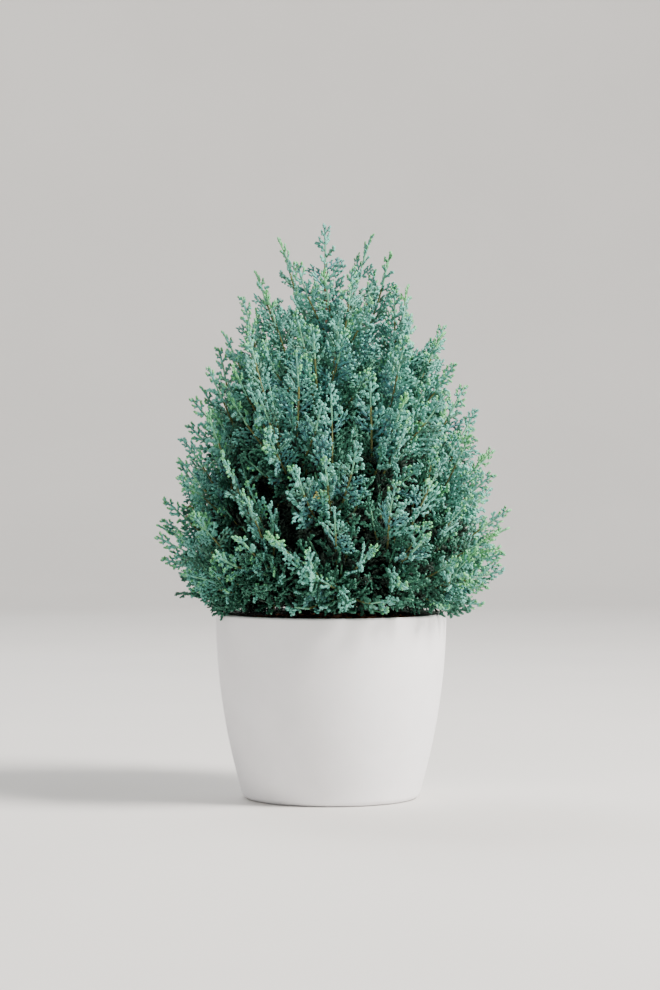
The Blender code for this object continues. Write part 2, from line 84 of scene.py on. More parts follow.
@dataclass(frozen=True)
class Finish:
    """A surface: two colours in soft patches, and a fine relief that also makes its gloss uneven."""

    name: str
    slot: str
    colour: str
    other_colour: str
    patch: float  # millimetres across a patch of colour
    roughness: float
    grain: float  # millimetres from bump to bump
    relief: float  # millimetres
    ior: float = 1.45
    sheen: float = 0.0
    stretch: tuple[float, float, float] = (1.0, 1.0, 1.0)
    patch_edge: tuple[float, float] = (0.36, 0.64)  # noise between which one colour turns into the other
    gloss_swing: float = 0.08

    def material(self) -> bpy.types.Material:
        """Returns the finish's material, which is made on first use."""
        return bpy.data.materials.get(self.name) or self._build()

    def _build(self) -> bpy.types.Material:
        """Builds the node tree, with every pattern laid out in the object's own space.

        Returns:
            The new material.
        """
        material = bpy.data.materials.new(self.name)
        material.use_nodes = True
        tree = material.node_tree
        tree.nodes.clear()
        place = add(tree, "ShaderNodeTexCoord").outputs["Object"]
        pattern = add(tree, "ShaderNodeMapping", {"Vector": place, "Scale": self.stretch})
        sizes = ((self.patch * MILLIMETRE, 3.0), (self.grain * MILLIMETRE, 4.0))
        patches, grain = (
            add(tree, "ShaderNodeTexNoise", {"Vector": pattern, "Scale": 1 / size, "Detail": detail})
            for size, detail in sizes
        )
        edge = {"From Min": self.patch_edge[0], "From Max": self.patch_edge[1]}
        share = add(tree, "ShaderNodeMapRange", {"Value": patches, **edge})
        colours = {0: share, 6: linear(self.colour), 7: linear(self.other_colour)}
        colour = add(tree, "ShaderNodeMix", colours, data_type="RGBA").outputs[2]
        ends = {"To Min": self.roughness - self.gloss_swing, "To Max": self.roughness + self.gloss_swing}
        gloss = add(tree, "ShaderNodeMapRange", {"Value": grain, **ends})
        bump = add(tree, "ShaderNodeBump", {"Height": grain, "Distance": self.relief * MILLIMETRE})
        look = {"Base Color": colour, "Roughness": gloss, "Normal": bump, "IOR": self.ior}
        shader = add(tree, "ShaderNodeBsdfPrincipled", {**look, "Sheen Weight": self.sheen})
        add(tree, "ShaderNodeOutputMaterial", {"Surface": shader})
        return material


# Scale leaves are waxy: a bloom greys them, and it takes the edge off every highlight.
# The nearly black inner finish is painted shade, dealt to sprays deep in the crown and low down to darken
# the gaps between the plumes.
SHADED_SCALES = Finish("inner_scale_leaves", "foliage", "#0f231a", "#152e22", 9, 0.75, 1.2, 0.10)
# The dark green old finish is partly older foliage's colour and partly painted shade, since it is dealt by
# depth in the crown and low down.
OLD_AND_SHADED_SCALES = Finish("old_scale_leaves", "foliage", "#306653", "#3a755f", 9, 0.62, 1.0, 0.22)
BLUE_SCALES = Finish("bloomed_scale_leaves", "foliage", "#4a8e90", "#417c7e", 14, 0.58, 1.0, 0.15, sheen=0.1)
GREEN_SCALES = Finish("green_scale_leaves", "foliage", "#528d77", "#487e67", 12, 0.58, 1.0, 0.15, sheen=0.1)
# The ripe finish also goes on the finger tips of blue and green sprays, where its paler colour is partly
# fresh growth and partly a painted highlight.
MINT_SCALES = Finish("ripe_scale_leaves", "foliage", "#62b3a1", "#5aa094", 14, 0.56, 1.0, 0.15, sheen=0.1)
FRESH_SCALES = Finish("fresh_scale_leaves", "foliage", "#6fc07b", "#69b586", 10, 0.54, 1.0, 0.15)
OCHRE_SCALES = Finish("ochre_scale_leaves", "foliage", "#a59f55", "#8c9a58", 8, 0.55, 1.2, 0.10)
# The trunk's bark splits into thin plates along the stem; young twigs are smooth and leathery.
PLATES = (1.0, 1.0, 0.22)
WRINKLES = (1.0, 1.0, 0.35)
TRUNK_BARK = Finish("fissured_trunk_bark", "bark", "#4f3626", "#75503a", 5, 0.85, 1.1, 0.5, stretch=PLATES)
TWIG_BARK = Finish("leathery_twig_bark", "bark", "#68703f", "#5d603b", 7, 0.60, 0.8, 0.1, stretch=WRINKLES)
GREEN_TWIGS = Finish("green_twig_skin", "foliage", "#74b48c", "#64a088", 8, 0.50, 1.0, 0.22)
# Fired clay under a matte white glaze, whose surface is finely pitted and very slightly clouded.
POT_GLAZE = Finish("matte_white_glaze", "ceramic", "#f1f0f2", "#ecebed", 24, 0.52, 0.9, 0.05, ior=1.5)
# Blown polypropylene: even, dark and half matt.
LINER_PLASTIC = Finish("black_polypropylene", "plastic", "#1a1a1b", "#222223", 20, 0.45, 1.0, 0.05, ior=1.49)
# Peat and composted bark, which drink the light.
PEAT = Finish("damp_peat", "soil", "#1b110b", "#291910", 4, 0.95, 1.2, 0.6)
CHIPPED_BARK = Finish("chipped_bark", "soil", "#87573a", "#5f3b27", 4, 0.85, 0.8, 0.3)
# The studio's floor: uncoated paper, without a shine.
PAPER = Finish("paper_floor", "", "#d5d3d0", "#d2d0cd", 300, 0.8, 2.0, 0.02)


class Tone(Enum):
    """How a spray is coloured: the finish of its scales, and that of its finger tips. Paler tips are partly
    fresh growth and partly a painted highlight; the shaded and old tones carry painted shade.
    """

    SHADED = (SHADED_SCALES, SHADED_SCALES)
    OLD = (OLD_AND_SHADED_SCALES, OLD_AND_SHADED_SCALES)
    BLUE = (BLUE_SCALES, MINT_SCALES)
    GREEN = (GREEN_SCALES, MINT_SCALES)
    MINT = (MINT_SCALES, MINT_SCALES)
    FRESH = (MINT_SCALES, FRESH_SCALES)
    NEW = (FRESH_SCALES, FRESH_SCALES)
    OCHRE = (GREEN_SCALES, OCHRE_SCALES)


def linear(code: str) -> tuple[float, float, float, float]:
    """Turns a colour as painted on a screen into scene-linear light.

    Args:
        code: Six hexadecimal digits after a hash, red first.

    Returns:
        Red, green, blue and full cover.
    """
    channels = [int(code[start : start + 2], 16) / 255 for start in (1, 3, 5)]
    red, green, blue = (c / 12.92 if c <= 0.04045 else ((c + 0.055) / 1.055) ** 2.4 for c in channels)
    return red, green, blue, 1.0


def add(
    tree: bpy.types.NodeTree, kind: str, inputs: dict[str | int, object] | None = None, **settings: object
) -> bpy.types.Node:
    """Adds a node to a tree.

    Args:
        tree: The tree that gets the node.
        kind: The node's type name.
        inputs: Socket name or number to a value, to an output to link, or to a node, for its first output.
        **settings: Properties of the node itself.

    Returns:
        The new node.
    """
    node = tree.nodes.new(kind)
    for key, value in settings.items():
        setattr(node, key, value)
    for key, value in (inputs or {}).items():
        source = value.outputs[0] if isinstance(value, bpy.types.Node) else value
        if isinstance(source, bpy.types.NodeSocket):
            tree.links.new(source, node.inputs[key])
        else:
            node.inputs[key].default_value = source
    return node


# Meshes


def circle(radius: float, height: float, steps: int) -> list[Vector]:
    """Returns points evenly round the Z axis."""
    turns = [2 * math.pi * step / steps for step in range(steps)]
    return [Vector((radius * math.cos(turn), radius * math.sin(turn), height)) for turn in turns]


def arc(
    centre: tuple[float, float], radius: float, start: float, end: float, steps: int
) -> list[tuple[float, float]]:
    """Lays points on an arc of a turned profile.

    Args:
        centre: The arc's centre, as (radius, height).
        radius: The arc's own radius.
        start: Where it starts, in degrees from the horizontal.
        end: Where it ends.
        steps: Steps from the first point to the last.

    Returns:
        Points of (radius, height).
    """
    angles = [math.radians(start + (end - start) * step / steps) for step in range(steps + 1)]
    return [(centre[0] + radius * math.cos(a), centre[1] + radius * math.sin(a)) for a in angles]


def swing(start: Vector, end: Vector, angle: float) -> Vector:
    """Returns a direction turned by an angle towards another that is at right angles to it."""
    return start * math.cos(angle) + end * math.sin(angle)


def sway(rng: random.Random, most: float = 1.0) -> float:
    """Returns a random number that is at most so far from 0, either way."""
    return rng.uniform(-most, most)


def jitter(rng: random.Random) -> Vector:
    """Returns a random vector in the cube from -1 to 1."""
    return Vector([sway(rng) for _ in range(3)])


@dataclass
class Shape:
    """Points, edges and faces of a mesh that is being put together."""

    points: list[Vector] = field(default_factory=list)
    edges: list[tuple[int, int]] = field(default_factory=list)
    faces: list[tuple[int, ...]] = field(default_factory=list)

    def add_tube(self, start: Vector, rings: Sequence[Sequence[Vector]], end: Vector) -> None:
        """Adds a closed tube.

        Args:
            start: The point that closes it at one end.
            rings: Its cross-sections in order, all with as many points, counter-clockwise from its end.
            end: The point that closes it at the other end.
        """
        first, corners = len(self.points), len(rings[0])
        self.points += [start, *(point for ring in rings for point in ring), end]
        last = len(self.points) - 1
        for corner in range(corners):
            after = (corner + 1) % corners
            self.faces.append((first, first + 1 + after, first + 1 + corner))
            for low in range(first + 1, last - corners, corners):
                self.faces.append((low + corner, low + after, low + corners + after, low + corners + corner))
            self.faces.append((last - corners + corner, last - corners + after, last))

    def add_finger(
        self,
        line: Sequence[Vector],
        face: Vector,
        widths: Sequence[float],
        flatness: float = 0.85,
        corners: int = 3,
    ) -> None:
        """Adds a knobbly finger that is pointed at both ends.

        Args:
            line: Points along its middle, from its root to its tip.
            face: The way its flat side looks.
            widths: Its width at each point between root and tip.
            flatness: Its thickness as a share of its width.
            corners: Corners of a cross-section. Each is turned half a corner from the one before.
        """
        rings = []
        for number, (behind, point, ahead, width) in enumerate(zip(line, line[1:], line[2:], widths)):
            side = face.cross(ahead - behind).normalized() * (0.5 * width)
            thick = (ahead - behind).cross(side).normalized() * (0.5 * width * flatness)
            offset = 0.5 * (number % 2)
            turns = [2 * math.pi * (0.25 + (corner + offset) / corners) for corner in range(corners)]
            rings.append([point + side * math.cos(turn) + thick * math.sin(turn) for turn in turns])
        self.add_tube(line[0], rings, line[-1])

    def add_line(self, line: Sequence[Vector]) -> None:
        """Adds a chain of edges.

        Args:
            line: Its points in order.
        """
        first = len(self.points)
        self.points += line
        self.edges += [(first + step, first + step + 1) for step in range(len(line) - 1)]

    def to_object(self, name: str) -> bpy.types.Object:
        """Makes a smooth object of the shape and links it to the scene.

        Args:
            name: The object's name.

        Returns:
            The new object.
        """
        mesh = bpy.data.meshes.new(name)
        mesh.from_pydata(self.points, self.edges, self.faces)
        mesh.shade_smooth()
        made = bpy.data.objects.new(name, mesh)
        bpy.context.scene.collection.objects.link(made)
        return made


def turned(profile: Sequence[tuple[float, float]], steps: int) -> Shape:
    """Makes a solid of revolution about the Z axis.

    Args:
        profile: Points of (radius, height), from the bottom's middle round the outside to the top's.
        steps: Steps of the turn.

    Returns:
        The closed shape.
    """
    shape = Shape()
    rings = [circle(radius, height, steps) for radius, height in profile[1:-1]]
    shape.add_tube(UP * profile[0][1], rings, UP * profile[-1][1])
    return shape


def dress(piece: bpy.types.Object, finish: Finish, nodes: Iterable[str]) -> None:
    """Gives a finished piece its material, fixes it to the body and lets it stand for its solids.

    Args:
        piece: The piece.
        finish: Its finish, which also says its slot.
        nodes: Names of the solids that it replaces.
    """
    piece.data.materials.clear()
    piece.data.materials.append(finish.material())
    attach(piece, BODY)
    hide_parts(*nodes)
    log.info("%s: %d faces, %s", piece.name, len(piece.data.polygons), finish.name)


# Geometry Nodes


class Grower:
    """A node tree that grows one plain mesh out of a sketch of points, lines or faces."""

    def __init__(self, name: str, sockets: dict[str, str], notes: dict[str, str] | None = None) -> None:
        """Starts the tree.

        Args:
            name: The tree's name.
            sockets: Name of each input to its kind. The material's follows them.
            notes: Name of each number or vector that the sketch's points carry to its kind.
        """
        self.tree = bpy.data.node_groups.new(name, "GeometryNodeTree")
        for label, kind in {**sockets, "Finish": "Material"}.items():
            self.tree.interface.new_socket(label, in_out="INPUT", socket_type=f"NodeSocket{kind}")
        self.tree.interface.new_socket("Mesh", in_out="OUTPUT", socket_type="NodeSocketGeometry")
        self.inputs = add(self.tree, "NodeGroupInput").outputs
        self.notes = {
            label: add(self.tree, "GeometryNodeInputNamedAttribute", {"Name": label}, data_type=kind)
            for label, kind in (notes or {}).items()
        }

    def strew(self, links: dict[str, object]) -> None:
        """Ends the tree with one of the models on every point.

        Args:
            links: What gives the points, and each model's number, rotation and scale, by its socket's name.
        """
        whole = {"Separate Children": True, "Reset Children": True}
        models = add(self.tree, "GeometryNodeCollectionInfo", {"Collection": self.inputs["Models"], **whole})
        placed = {"Instance": models, "Pick Instance": True, **links}
        self.finish(add(self.tree, "GeometryNodeInstanceOnPoints", placed))

    def finish(self, mesh: bpy.types.Node) -> None:
        """Ends the tree: real geometry, smooth, in the given material.

        Args:
            mesh: The node that gives the geometry.
        """
        real = add(self.tree, "GeometryNodeRealizeInstances", {"Geometry": mesh})
        smooth = add(self.tree, "GeometryNodeSetShadeSmooth", {"Geometry": real})
        dressed = {"Geometry": smooth, "Material": self.inputs["Finish"]}
        add(self.tree, "NodeGroupOutput", {"Mesh": add(self.tree, "GeometryNodeSetMaterial", dressed)})

    def grow(
        self,
        sketch: bpy.types.Object,
        finish: Finish,
        nodes: Iterable[str],
        notes: dict[str, Sequence[object]],
        values: dict[str, object],
    ) -> None:
        """Runs the tree on a sketch, leaves the result as the sketch's own plain mesh and dresses it.

        Args:
            sketch: The object to grow from, which ends as the piece, with no modifier.
            finish: The piece's finish.
            nodes: Names of the solids that it replaces.
            notes: Name of each note to its values, one for each point.
            values: Name of each input to its value, but for the mesh and the material.
        """
        given = {**values, "Finish": finish.material()}
        for label, node in self.notes.items():
            attribute = sketch.data.attributes.new(label, node.data_type, "POINT")
            member = "vector" if node.data_type == "FLOAT_VECTOR" else "value"
            attribute.data.foreach_set(member, np.array(notes[label]).ravel())
        modifier = sketch.modifiers.new("growth", "NODES")
        modifier.node_group = self.tree
        for item in self.tree.interface.items_tree:
            if item.in_out == "INPUT" and item.name in given:
                modifier[item.identifier] = given[item.name]
        graph = bpy.context.evaluated_depsgraph_get()
        grown = bpy.data.meshes.new_from_object(sketch.evaluated_get(graph), depsgraph=graph)
        sketch.modifiers.clear()
        old, sketch.data = sketch.data, grown
        bpy.data.meshes.remove(old)
        for label in self.notes:
            if label in grown.attributes:
                grown.attributes.remove(grown.attributes[label])
        grown.name = sketch.name
        dress(sketch, finish, nodes)


def model_grower() -> Grower:
    """Builds the tree that puts a model on every point: its X along the growth and its Z facing out.

    Returns:
        The tree.
    """
    sockets = {"Points": "Geometry", "Models": "Collection"}
    notes = {"along": "FLOAT_VECTOR", "facing": "FLOAT_VECTOR", "kind": "INT", "size": "FLOAT"}
    grower = Grower("models_on_points", sockets, notes)
    given = grower.notes
    axes = {"primary_axis": "X", "secondary_axis": "Z"}
    turn = add(grower.tree, "FunctionNodeAxesToRotation", {0: given["along"], 1: given["facing"]}, **axes)
    placed = {"Instance Index": given["kind"], "Rotation": turn, "Scale": given["size"]}
    grower.strew({"Points": grower.inputs["Points"], **placed})
    return grower


def stem_grower() -> Grower:
    """Builds the tree that wraps a round stem about every line, with plates of bark raised on it.

    Returns:
        The tree.
    """
    sockets = {"Lines": "Geometry", "Sides": "Int", "Relief": "Float", "Plate": "Float"}
    grower = Grower("stems_on_lines", sockets, {"thickness": "FLOAT"})
    tree, given, radius = grower.tree, grower.inputs, grower.notes["thickness"]
    curves = add(tree, "GeometryNodeMeshToCurve", {"Mesh": given["Lines"]})
    ring = add(tree, "GeometryNodeCurvePrimitiveCircle", {"Resolution": given["Sides"], "Radius": 1.0})
    wrapped = {"Curve": curves, "Profile Curve": ring, "Scale": radius, "Fill Caps": True}
    stems = add(tree, "GeometryNodeCurveToMesh", wrapped)
    place = add(tree, "GeometryNodeInputPosition")
    # Plates of bark are four times as long as they are wide.
    long = add(tree, "ShaderNodeVectorMath", {0: place, 1: (1.0, 1.0, 0.25)}, operation="MULTIPLY")
    fine = add(tree, "ShaderNodeMath", {0: 1.0, 1: given["Plate"]}, operation="DIVIDE")
    plates = add(tree, "ShaderNodeTexNoise", {"Vector": long, "Scale": fine, "Detail": 2.0})
    # Noise stays near its middle, so that part of it is spread over the whole relief, in and out.
    evened = {"Value": plates, "From Min": 0.3, "From Max": 0.7, "To Min": -1.0}
    height = add(tree, "ShaderNodeMapRange", evened)
    share = add(tree, "ShaderNodeMath", {0: height, 1: given["Relief"]}, operation="MULTIPLY")
    rise = add(tree, "ShaderNodeMath", {0: share, 1: radius}, operation="MULTIPLY")
    normal = add(tree, "GeometryNodeInputNormal")
    offset = add(tree, "ShaderNodeVectorMath", {0: normal, "Scale": rise}, operation="SCALE")
    grower.finish(add(tree, "GeometryNodeSetPosition", {"Geometry": stems, "Offset": offset}))
    return grower


def litter_grower(kinds: int, level_from: float, tilt: float) -> Grower:
    """Builds the tree that strews models over the level part of a surface.

    Args:
        kinds: How many models there are.
        level_from: Upright part of its normal from which the surface counts as level.
        tilt: How far a model may tip about X and Y, in radians.

    Returns:
        The tree.
    """
    sockets = {"Ground": "Geometry", "Models": "Collection"}
    sockets |= dict.fromkeys(("Pieces per m2", "Least size", "Most size"), "Float")
    grower = Grower("litter_on_soil", {**sockets, "Seed": "Int"})
    tree, given = grower.tree, grower.inputs
    seed = {"Seed": given["Seed"]}
    normal = add(tree, "GeometryNodeInputNormal")
    rise = add(tree, "ShaderNodeSeparateXYZ", {0: normal}).outputs["Z"]
    level = add(tree, "ShaderNodeMath", {0: rise, 1: level_from}, operation="GREATER_THAN")
    spread = {"Mesh": given["Ground"], "Selection": level, "Density": given["Pieces per m2"], **seed}
    points = add(tree, "GeometryNodeDistributePointsOnFaces", spread)
    turns = {0: (-tilt, -tilt, 0.0), 1: (tilt, tilt, 2 * math.pi), **seed}
    turn = add(tree, "FunctionNodeRandomValue", turns, data_type="FLOAT_VECTOR")
    rotation = add(tree, "FunctionNodeEulerToRotation", {0: turn})
    sizes = {2: given["Least size"], 3: given["Most size"], **seed}
    size = add(tree, "FunctionNodeRandomValue", sizes, data_type="FLOAT").outputs[1]
    number = add(tree, "FunctionNodeRandomValue", {4: 0, 5: kinds - 1, **seed}, data_type="INT").outputs[2]
    grower.strew({"Points": points, "Instance Index": number, "Rotation": rotation, "Scale": size})
    return grower


class Models:
    """A set of small shapes for a tree to pick from by number."""

    def __init__(self, name: str, shapes: Sequence[Shape]) -> None:
        """Makes an object of each shape in a collection that isn't part of the scene.

        Args:
            name: The collection's name, with which the objects' names begin.
            shapes: The shapes, in the order of their numbers.
        """
        self.collection = bpy.data.collections.new(name)
        for index, shape in enumerate(shapes):
            made = shape.to_object(f"{name}_{index:02d}")
            bpy.context.scene.collection.objects.unlink(made)
            self.collection.objects.link(made)

    def drop(self) -> None:
        """Removes the shapes once nothing grows from them any more."""
        for mesh in [item.data for item in self.collection.objects]:
            bpy.data.meshes.remove(mesh)
        bpy.data.collections.remove(self.collection)


# The plant's rule, as its solids have it


@dataclass(frozen=True)
class Trunk:
    """The one stem, from the soil to the foot of the leader."""

    ground: float = 0.117
    top: float = 0.336
    foot_radius: float = 0.0042
    tip_radius: float = 0.0009
    taper: float = 0.9
    lean: float = -0.0043
    wander: float = 0.0009
    bends: float = 2.2  # half waves of the wander
    flare: float = 0.0028
    flare_height: float = 0.0035

    def share(self, height: float) -> float:
        """Returns how far up the trunk a height is, from 0 at the ground to 1 at its top."""
        return min(max((height - self.ground) / (self.top - self.ground), 0.0), 1.0)

    def point(self, height: float) -> Vector:
        """Follows the trunk, which leans and wanders a little.

        Args:
            height: Where.

        Returns:
            The trunk's centre there.
        """
        share = self.share(height)
        wave = self.wander * math.sin(self.bends * math.pi * share)
        return Vector((self.lean * share + wave, -wave, height))

    def radius(self, height: float) -> float:
        """Works out how thick the trunk is, with the root flare at the ground.

        Args:
            height: Where.

        Returns:
            The trunk's radius there.
        """
        taper = (1 - self.share(height)) ** self.taper
        flare = self.flare * math.exp(-(height - self.ground) / self.flare_height)
        return self.tip_radius + (self.foot_radius - self.tip_radius) * taper + flare


@dataclass(frozen=True)
class Crown:
    """The outline that the foliage fills: an egg, widest low down."""

    radius: float = 0.115
    widest_height: float = 0.175
    top: float = 0.385
    power: float = 1.4
    roundness: float = 0.65
    skirt_depth: float = 0.084
    shift: float = 0.0015
    leader_top: float = 0.373
    step: float = 0.004  # over which the outline's slope is read
    top_depth: float = 0.26  # for each metre below the top, however near the outline is

    def radius_at(self, height: float) -> float:
        """Works out how wide the outline is.

        Args:
            height: Where.

        Returns:
            The outline's radius at that height.
        """
        if height > self.widest_height:
            up = min((height - self.widest_height) / (self.top - self.widest_height), 1.0)
            return self.radius * (1 - up**self.power) ** self.roundness
        down = min((self.widest_height - height) / self.skirt_depth, 1.0)
        return self.radius * math.sqrt(1 - down * down)

    def level_depth(self, point: Vector) -> float:
        """Returns how far inside the outline a point lies, measured level."""
        return self.radius_at(point.z) - math.hypot(point.x - self.shift, point.y)

    def depth(self, point: Vector) -> float:
        """Works out about how deep in the crown a point lies.

        Args:
            point: The point.

        Returns:
            Its distance from the outline, straight in, or less near the thin top.
        """
        above, below = self.radius_at(point.z + self.step), self.radius_at(point.z - self.step)
        slope = (above - below) / (2 * self.step)
        return min(self.level_depth(point) / math.hypot(1.0, slope), self.top_depth * (self.top - point.z))


TRUNK = Trunk()
CROWN = Crown()


@dataclass(frozen=True)
class Whorl:
    """Shoots that leave the trunk at about one height. Azimuth 0 is +X, and 90 is away from the front."""

    name: str
    count: int
    trunk_height: float
    tip_height: float
    first_azimuth: float
    bare_share: float
    base_radius: float
    arch: float = 0.0
    azimuth_scatter: float = 6.0  # degrees
    sweep_scatter: float = 9.0  # degrees
    height_scatter: float = 0.005

    def shoots(self) -> Iterator[Shoot]:
        """Makes the whorl's shoots.

        Yields:
            Each shoot, scattered by its own seed.
        """
        for index in range(self.count):
            rng = random.Random(f"{SEED} {self.name} {index}")
            turn = self.first_azimuth + 360.0 * index / self.count
            azimuth = math.radians(turn + sway(rng, self.azimuth_scatter))
            sweep = math.radians(sway(rng, self.sweep_scatter))
            start = self.trunk_height + 0.5 * rng.uniform(0.0, self.height_scatter)
            tip = self.tip_height + sway(rng, self.height_scatter)
            reach = CROWN.radius_at(tip) + CROWN.shift * math.cos(azimuth)
            yield Shoot(self, f"{self.name}_{index + 1}", azimuth, sweep, start, tip - start, reach)


WHORLS = (
    Whorl("skirt", 6, 0.1205, 0.1315, 30.0, 0.34, 0.0015, arch=0.010),
    Whorl("sweep", 6, 0.1275, 0.1740, 0.0, 0.36, 0.0019),
    Whorl("lower", 5, 0.1360, 0.2200, -18.0, 0.34, 0.0018),
    Whorl("middle", 5, 0.1660, 0.2660, 18.0, 0.30, 0.0016),
    Whorl("upper", 4, 0.2040, 0.3070, -8.0, 0.0, 0.0012),
    Whorl("high", 3, 0.2440, 0.3430, 45.0, 0.0, 0.0010),
    Whorl("top", 2, 0.2860, 0.3660, 4.0, 0.0, 0.0009),
)
LEADER = Whorl("leader", 1, TRUNK.top, CROWN.leader_top, 0.0, 0.0, TRUNK.tip_radius)


class Region(Enum):
    """Parts of the foliage that become pieces of their own, by the whorls that they grow from."""

    SKIRT = ("skirt",)
    SWEEP = ("sweep",)
    BELLY = ("lower",)
    SHOULDER = ("middle",)
    PEAK = ("upper", "high", "top", "leader")


@dataclass(frozen=True)
class Shoot:
    """The line of one shoot, from the trunk to its tip on the crown's outline."""

    whorl: Whorl
    name: str
    azimuth: float = 0.0
    sweep: float = 0.0
    start_height: float = 0.0
    rise: float = 0.0
    reach: float = 0.0
    bend: float = 1.5
    tip_radius: float = 0.0006
    step: float = 0.02  # share of the shoot over which its direction is read

    @property
    def region(self) -> Region:
        """The part of the foliage that the shoot belongs to."""
        return next(region for region in Region if self.whorl.name in region.value)

    def point(self, share: float) -> Vector:
        """Follows the shoot.

        Args:
            share: How far, from 0 at the trunk's centre to 1 at the tip.

        Returns:
            The point there.
        """
        turn = self.azimuth + self.sweep * share * (1 - share)
        out = self.reach * share
        up = self.rise * share**self.bend + self.whorl.arch * math.sin(math.pi * share)
        return TRUNK.point(self.start_height) + Vector((out * math.cos(turn), out * math.sin(turn), up))

    def radius(self, share: float) -> float:
        """Returns the shoot's radius, which tapers to its tip."""
        return self.tip_radius + (self.whorl.base_radius - self.tip_radius) * (1 - share)

    def trunk_edge(self) -> float:
        """Returns the share at which the shoot stands clear of the trunk's bark."""
        return (TRUNK.radius(self.start_height) + GAP) / self.reach

    def foliage_start(self) -> float:
        """Returns the share at which the foliage begins."""
        return self.whorl.bare_share or self.trunk_edge()

    def heading(self, share: float) -> Vector:
        """Returns the shoot's direction at a share of its length."""
        start = max(share - self.step, 0.0)
        return (self.point(start + 2 * self.step) - self.point(start)).normalized()


@dataclass(frozen=True)
class LeadingShoot(Shoot):
    """The shoot that carries on from the trunk's top."""

    whorl: Whorl = LEADER
    name: str = LEADER.name

    def point(self, share: float) -> Vector:
        """Returns a point on the leader, from 0 at the trunk's top to 1 at its tip."""
        return TRUNK.point(TRUNK.top) + UP * (GAP + (CROWN.leader_top - TRUNK.top - GAP) * share)

    def foliage_start(self) -> float:
        """Returns 0: the leader is foliage all the way."""
        return 0.0


def run(stem: Trunk | Shoot, places: Sequence[float]) -> tuple[list[Vector], list[float]]:
    """Returns a stem's points and its radii at some heights of the trunk or shares of a shoot."""
    return [stem.point(place) for place in places], [stem.radius(place) for place in places]


# Finer growth

RIM_CLEARANCE = 0.0022
FRONT_LIFT = 0.0015  # how much more sprays clear the rim at the front and the back
SIDE_DROOP = 0.010  # how much lower they hang on the left and the right
DROOP_POWER = 6  # the higher, the nearer to the very sides they do
SOIL_CLEARANCE = 0.0030
SOIL_RISE = 0.03  # how much more sprays clear the soil for each metre out from the trunk
OVERREACH = 0.009  # of a spray, past the crown's outline


def in_open_air(point: Vector) -> bool:
    """Tells where foliage may be.

    Args:
        point: A point of it.

    Returns:
        Whether the point is clear of pot and soil, and within the crown's reach.
    """
    level = math.hypot(point.x, point.y)
    if level > WhitePot.rim_radius + RIM_CLEARANCE:
        droop = SIDE_DROOP * (point.x / level) ** DROOP_POWER
        lowest = WhitePot.height + RIM_CLEARANCE + FRONT_LIFT - droop
    else:
        lowest = TRUNK.ground + SOIL_CLEARANCE + SOIL_RISE * level
    return lowest < point.z < CROWN.leader_top and CROWN.level_depth(point) > -OVERREACH


@dataclass(frozen=True)
class Twig:
    """A thin stem that carries sprays."""

    line: list[Vector]
    radii: list[float]
    facing: Vector
    bare: float
    roll: float  # degrees that its sprays may turn out of its plane
    region: Region
    step: float = 0.006  # between the points of a part of it

    def length(self) -> float:
        """Returns the length along the line."""
        return sum((b - a).length for a, b in zip(self.line, self.line[1:]))

    def walk(self, distance: float) -> tuple[Vector, Vector]:
        """Follows the line.

        Args:
            distance: How far, from the root.

        Returns:
            The point there, and the direction.
        """
        for start, end in zip(self.line, self.line[1:]):
            piece = (end - start).length
            if distance <= piece:
                return start.lerp(end, distance / piece), (end - start).normalized()
            distance -= piece
        return self.line[-1], (self.line[-1] - self.line[-2]).normalized()

    def stretch(self, start: float, end: float) -> tuple[list[Vector], list[float]]:
        """Cuts out a part of the twig.

        Args:
            start: Where it starts, as a distance from the root.
            end: Where it ends.

        Returns:
            Its points and their radii.
        """
        distances = np.linspace(start, end, max(2, round((end - start) / self.step)))
        radii = np.interp(distances / self.length(), np.linspace(0.0, 1.0, len(self.radii)), self.radii)
        return [self.walk(float(distance))[0] for distance in distances], list(radii)


@dataclass(frozen=True)
class Spray:
    """One flat spray: where it is rooted, how it lies, its length and its colours."""

    root: Vector
    along: Vector
    facing: Vector
    length: float
    tone: Tone
    region: Region
    ends_twig: bool = False


@dataclass(frozen=True)
class Layer:
    """Plume tips at one depth inside the crown's outline. Its count seeds it, so each layer has its own."""

    count: int
    least_depth: float  # as a share of the crown's radius there
    most_depth: float
    least_length: float
    most_length: float
    lowest_tip: float = 0.1225
    highest_tip: float = 0.364
    spread: float = 0.12  # how far plumes turn away from their aim
    lift: float = 0.0  # how far they turn upright


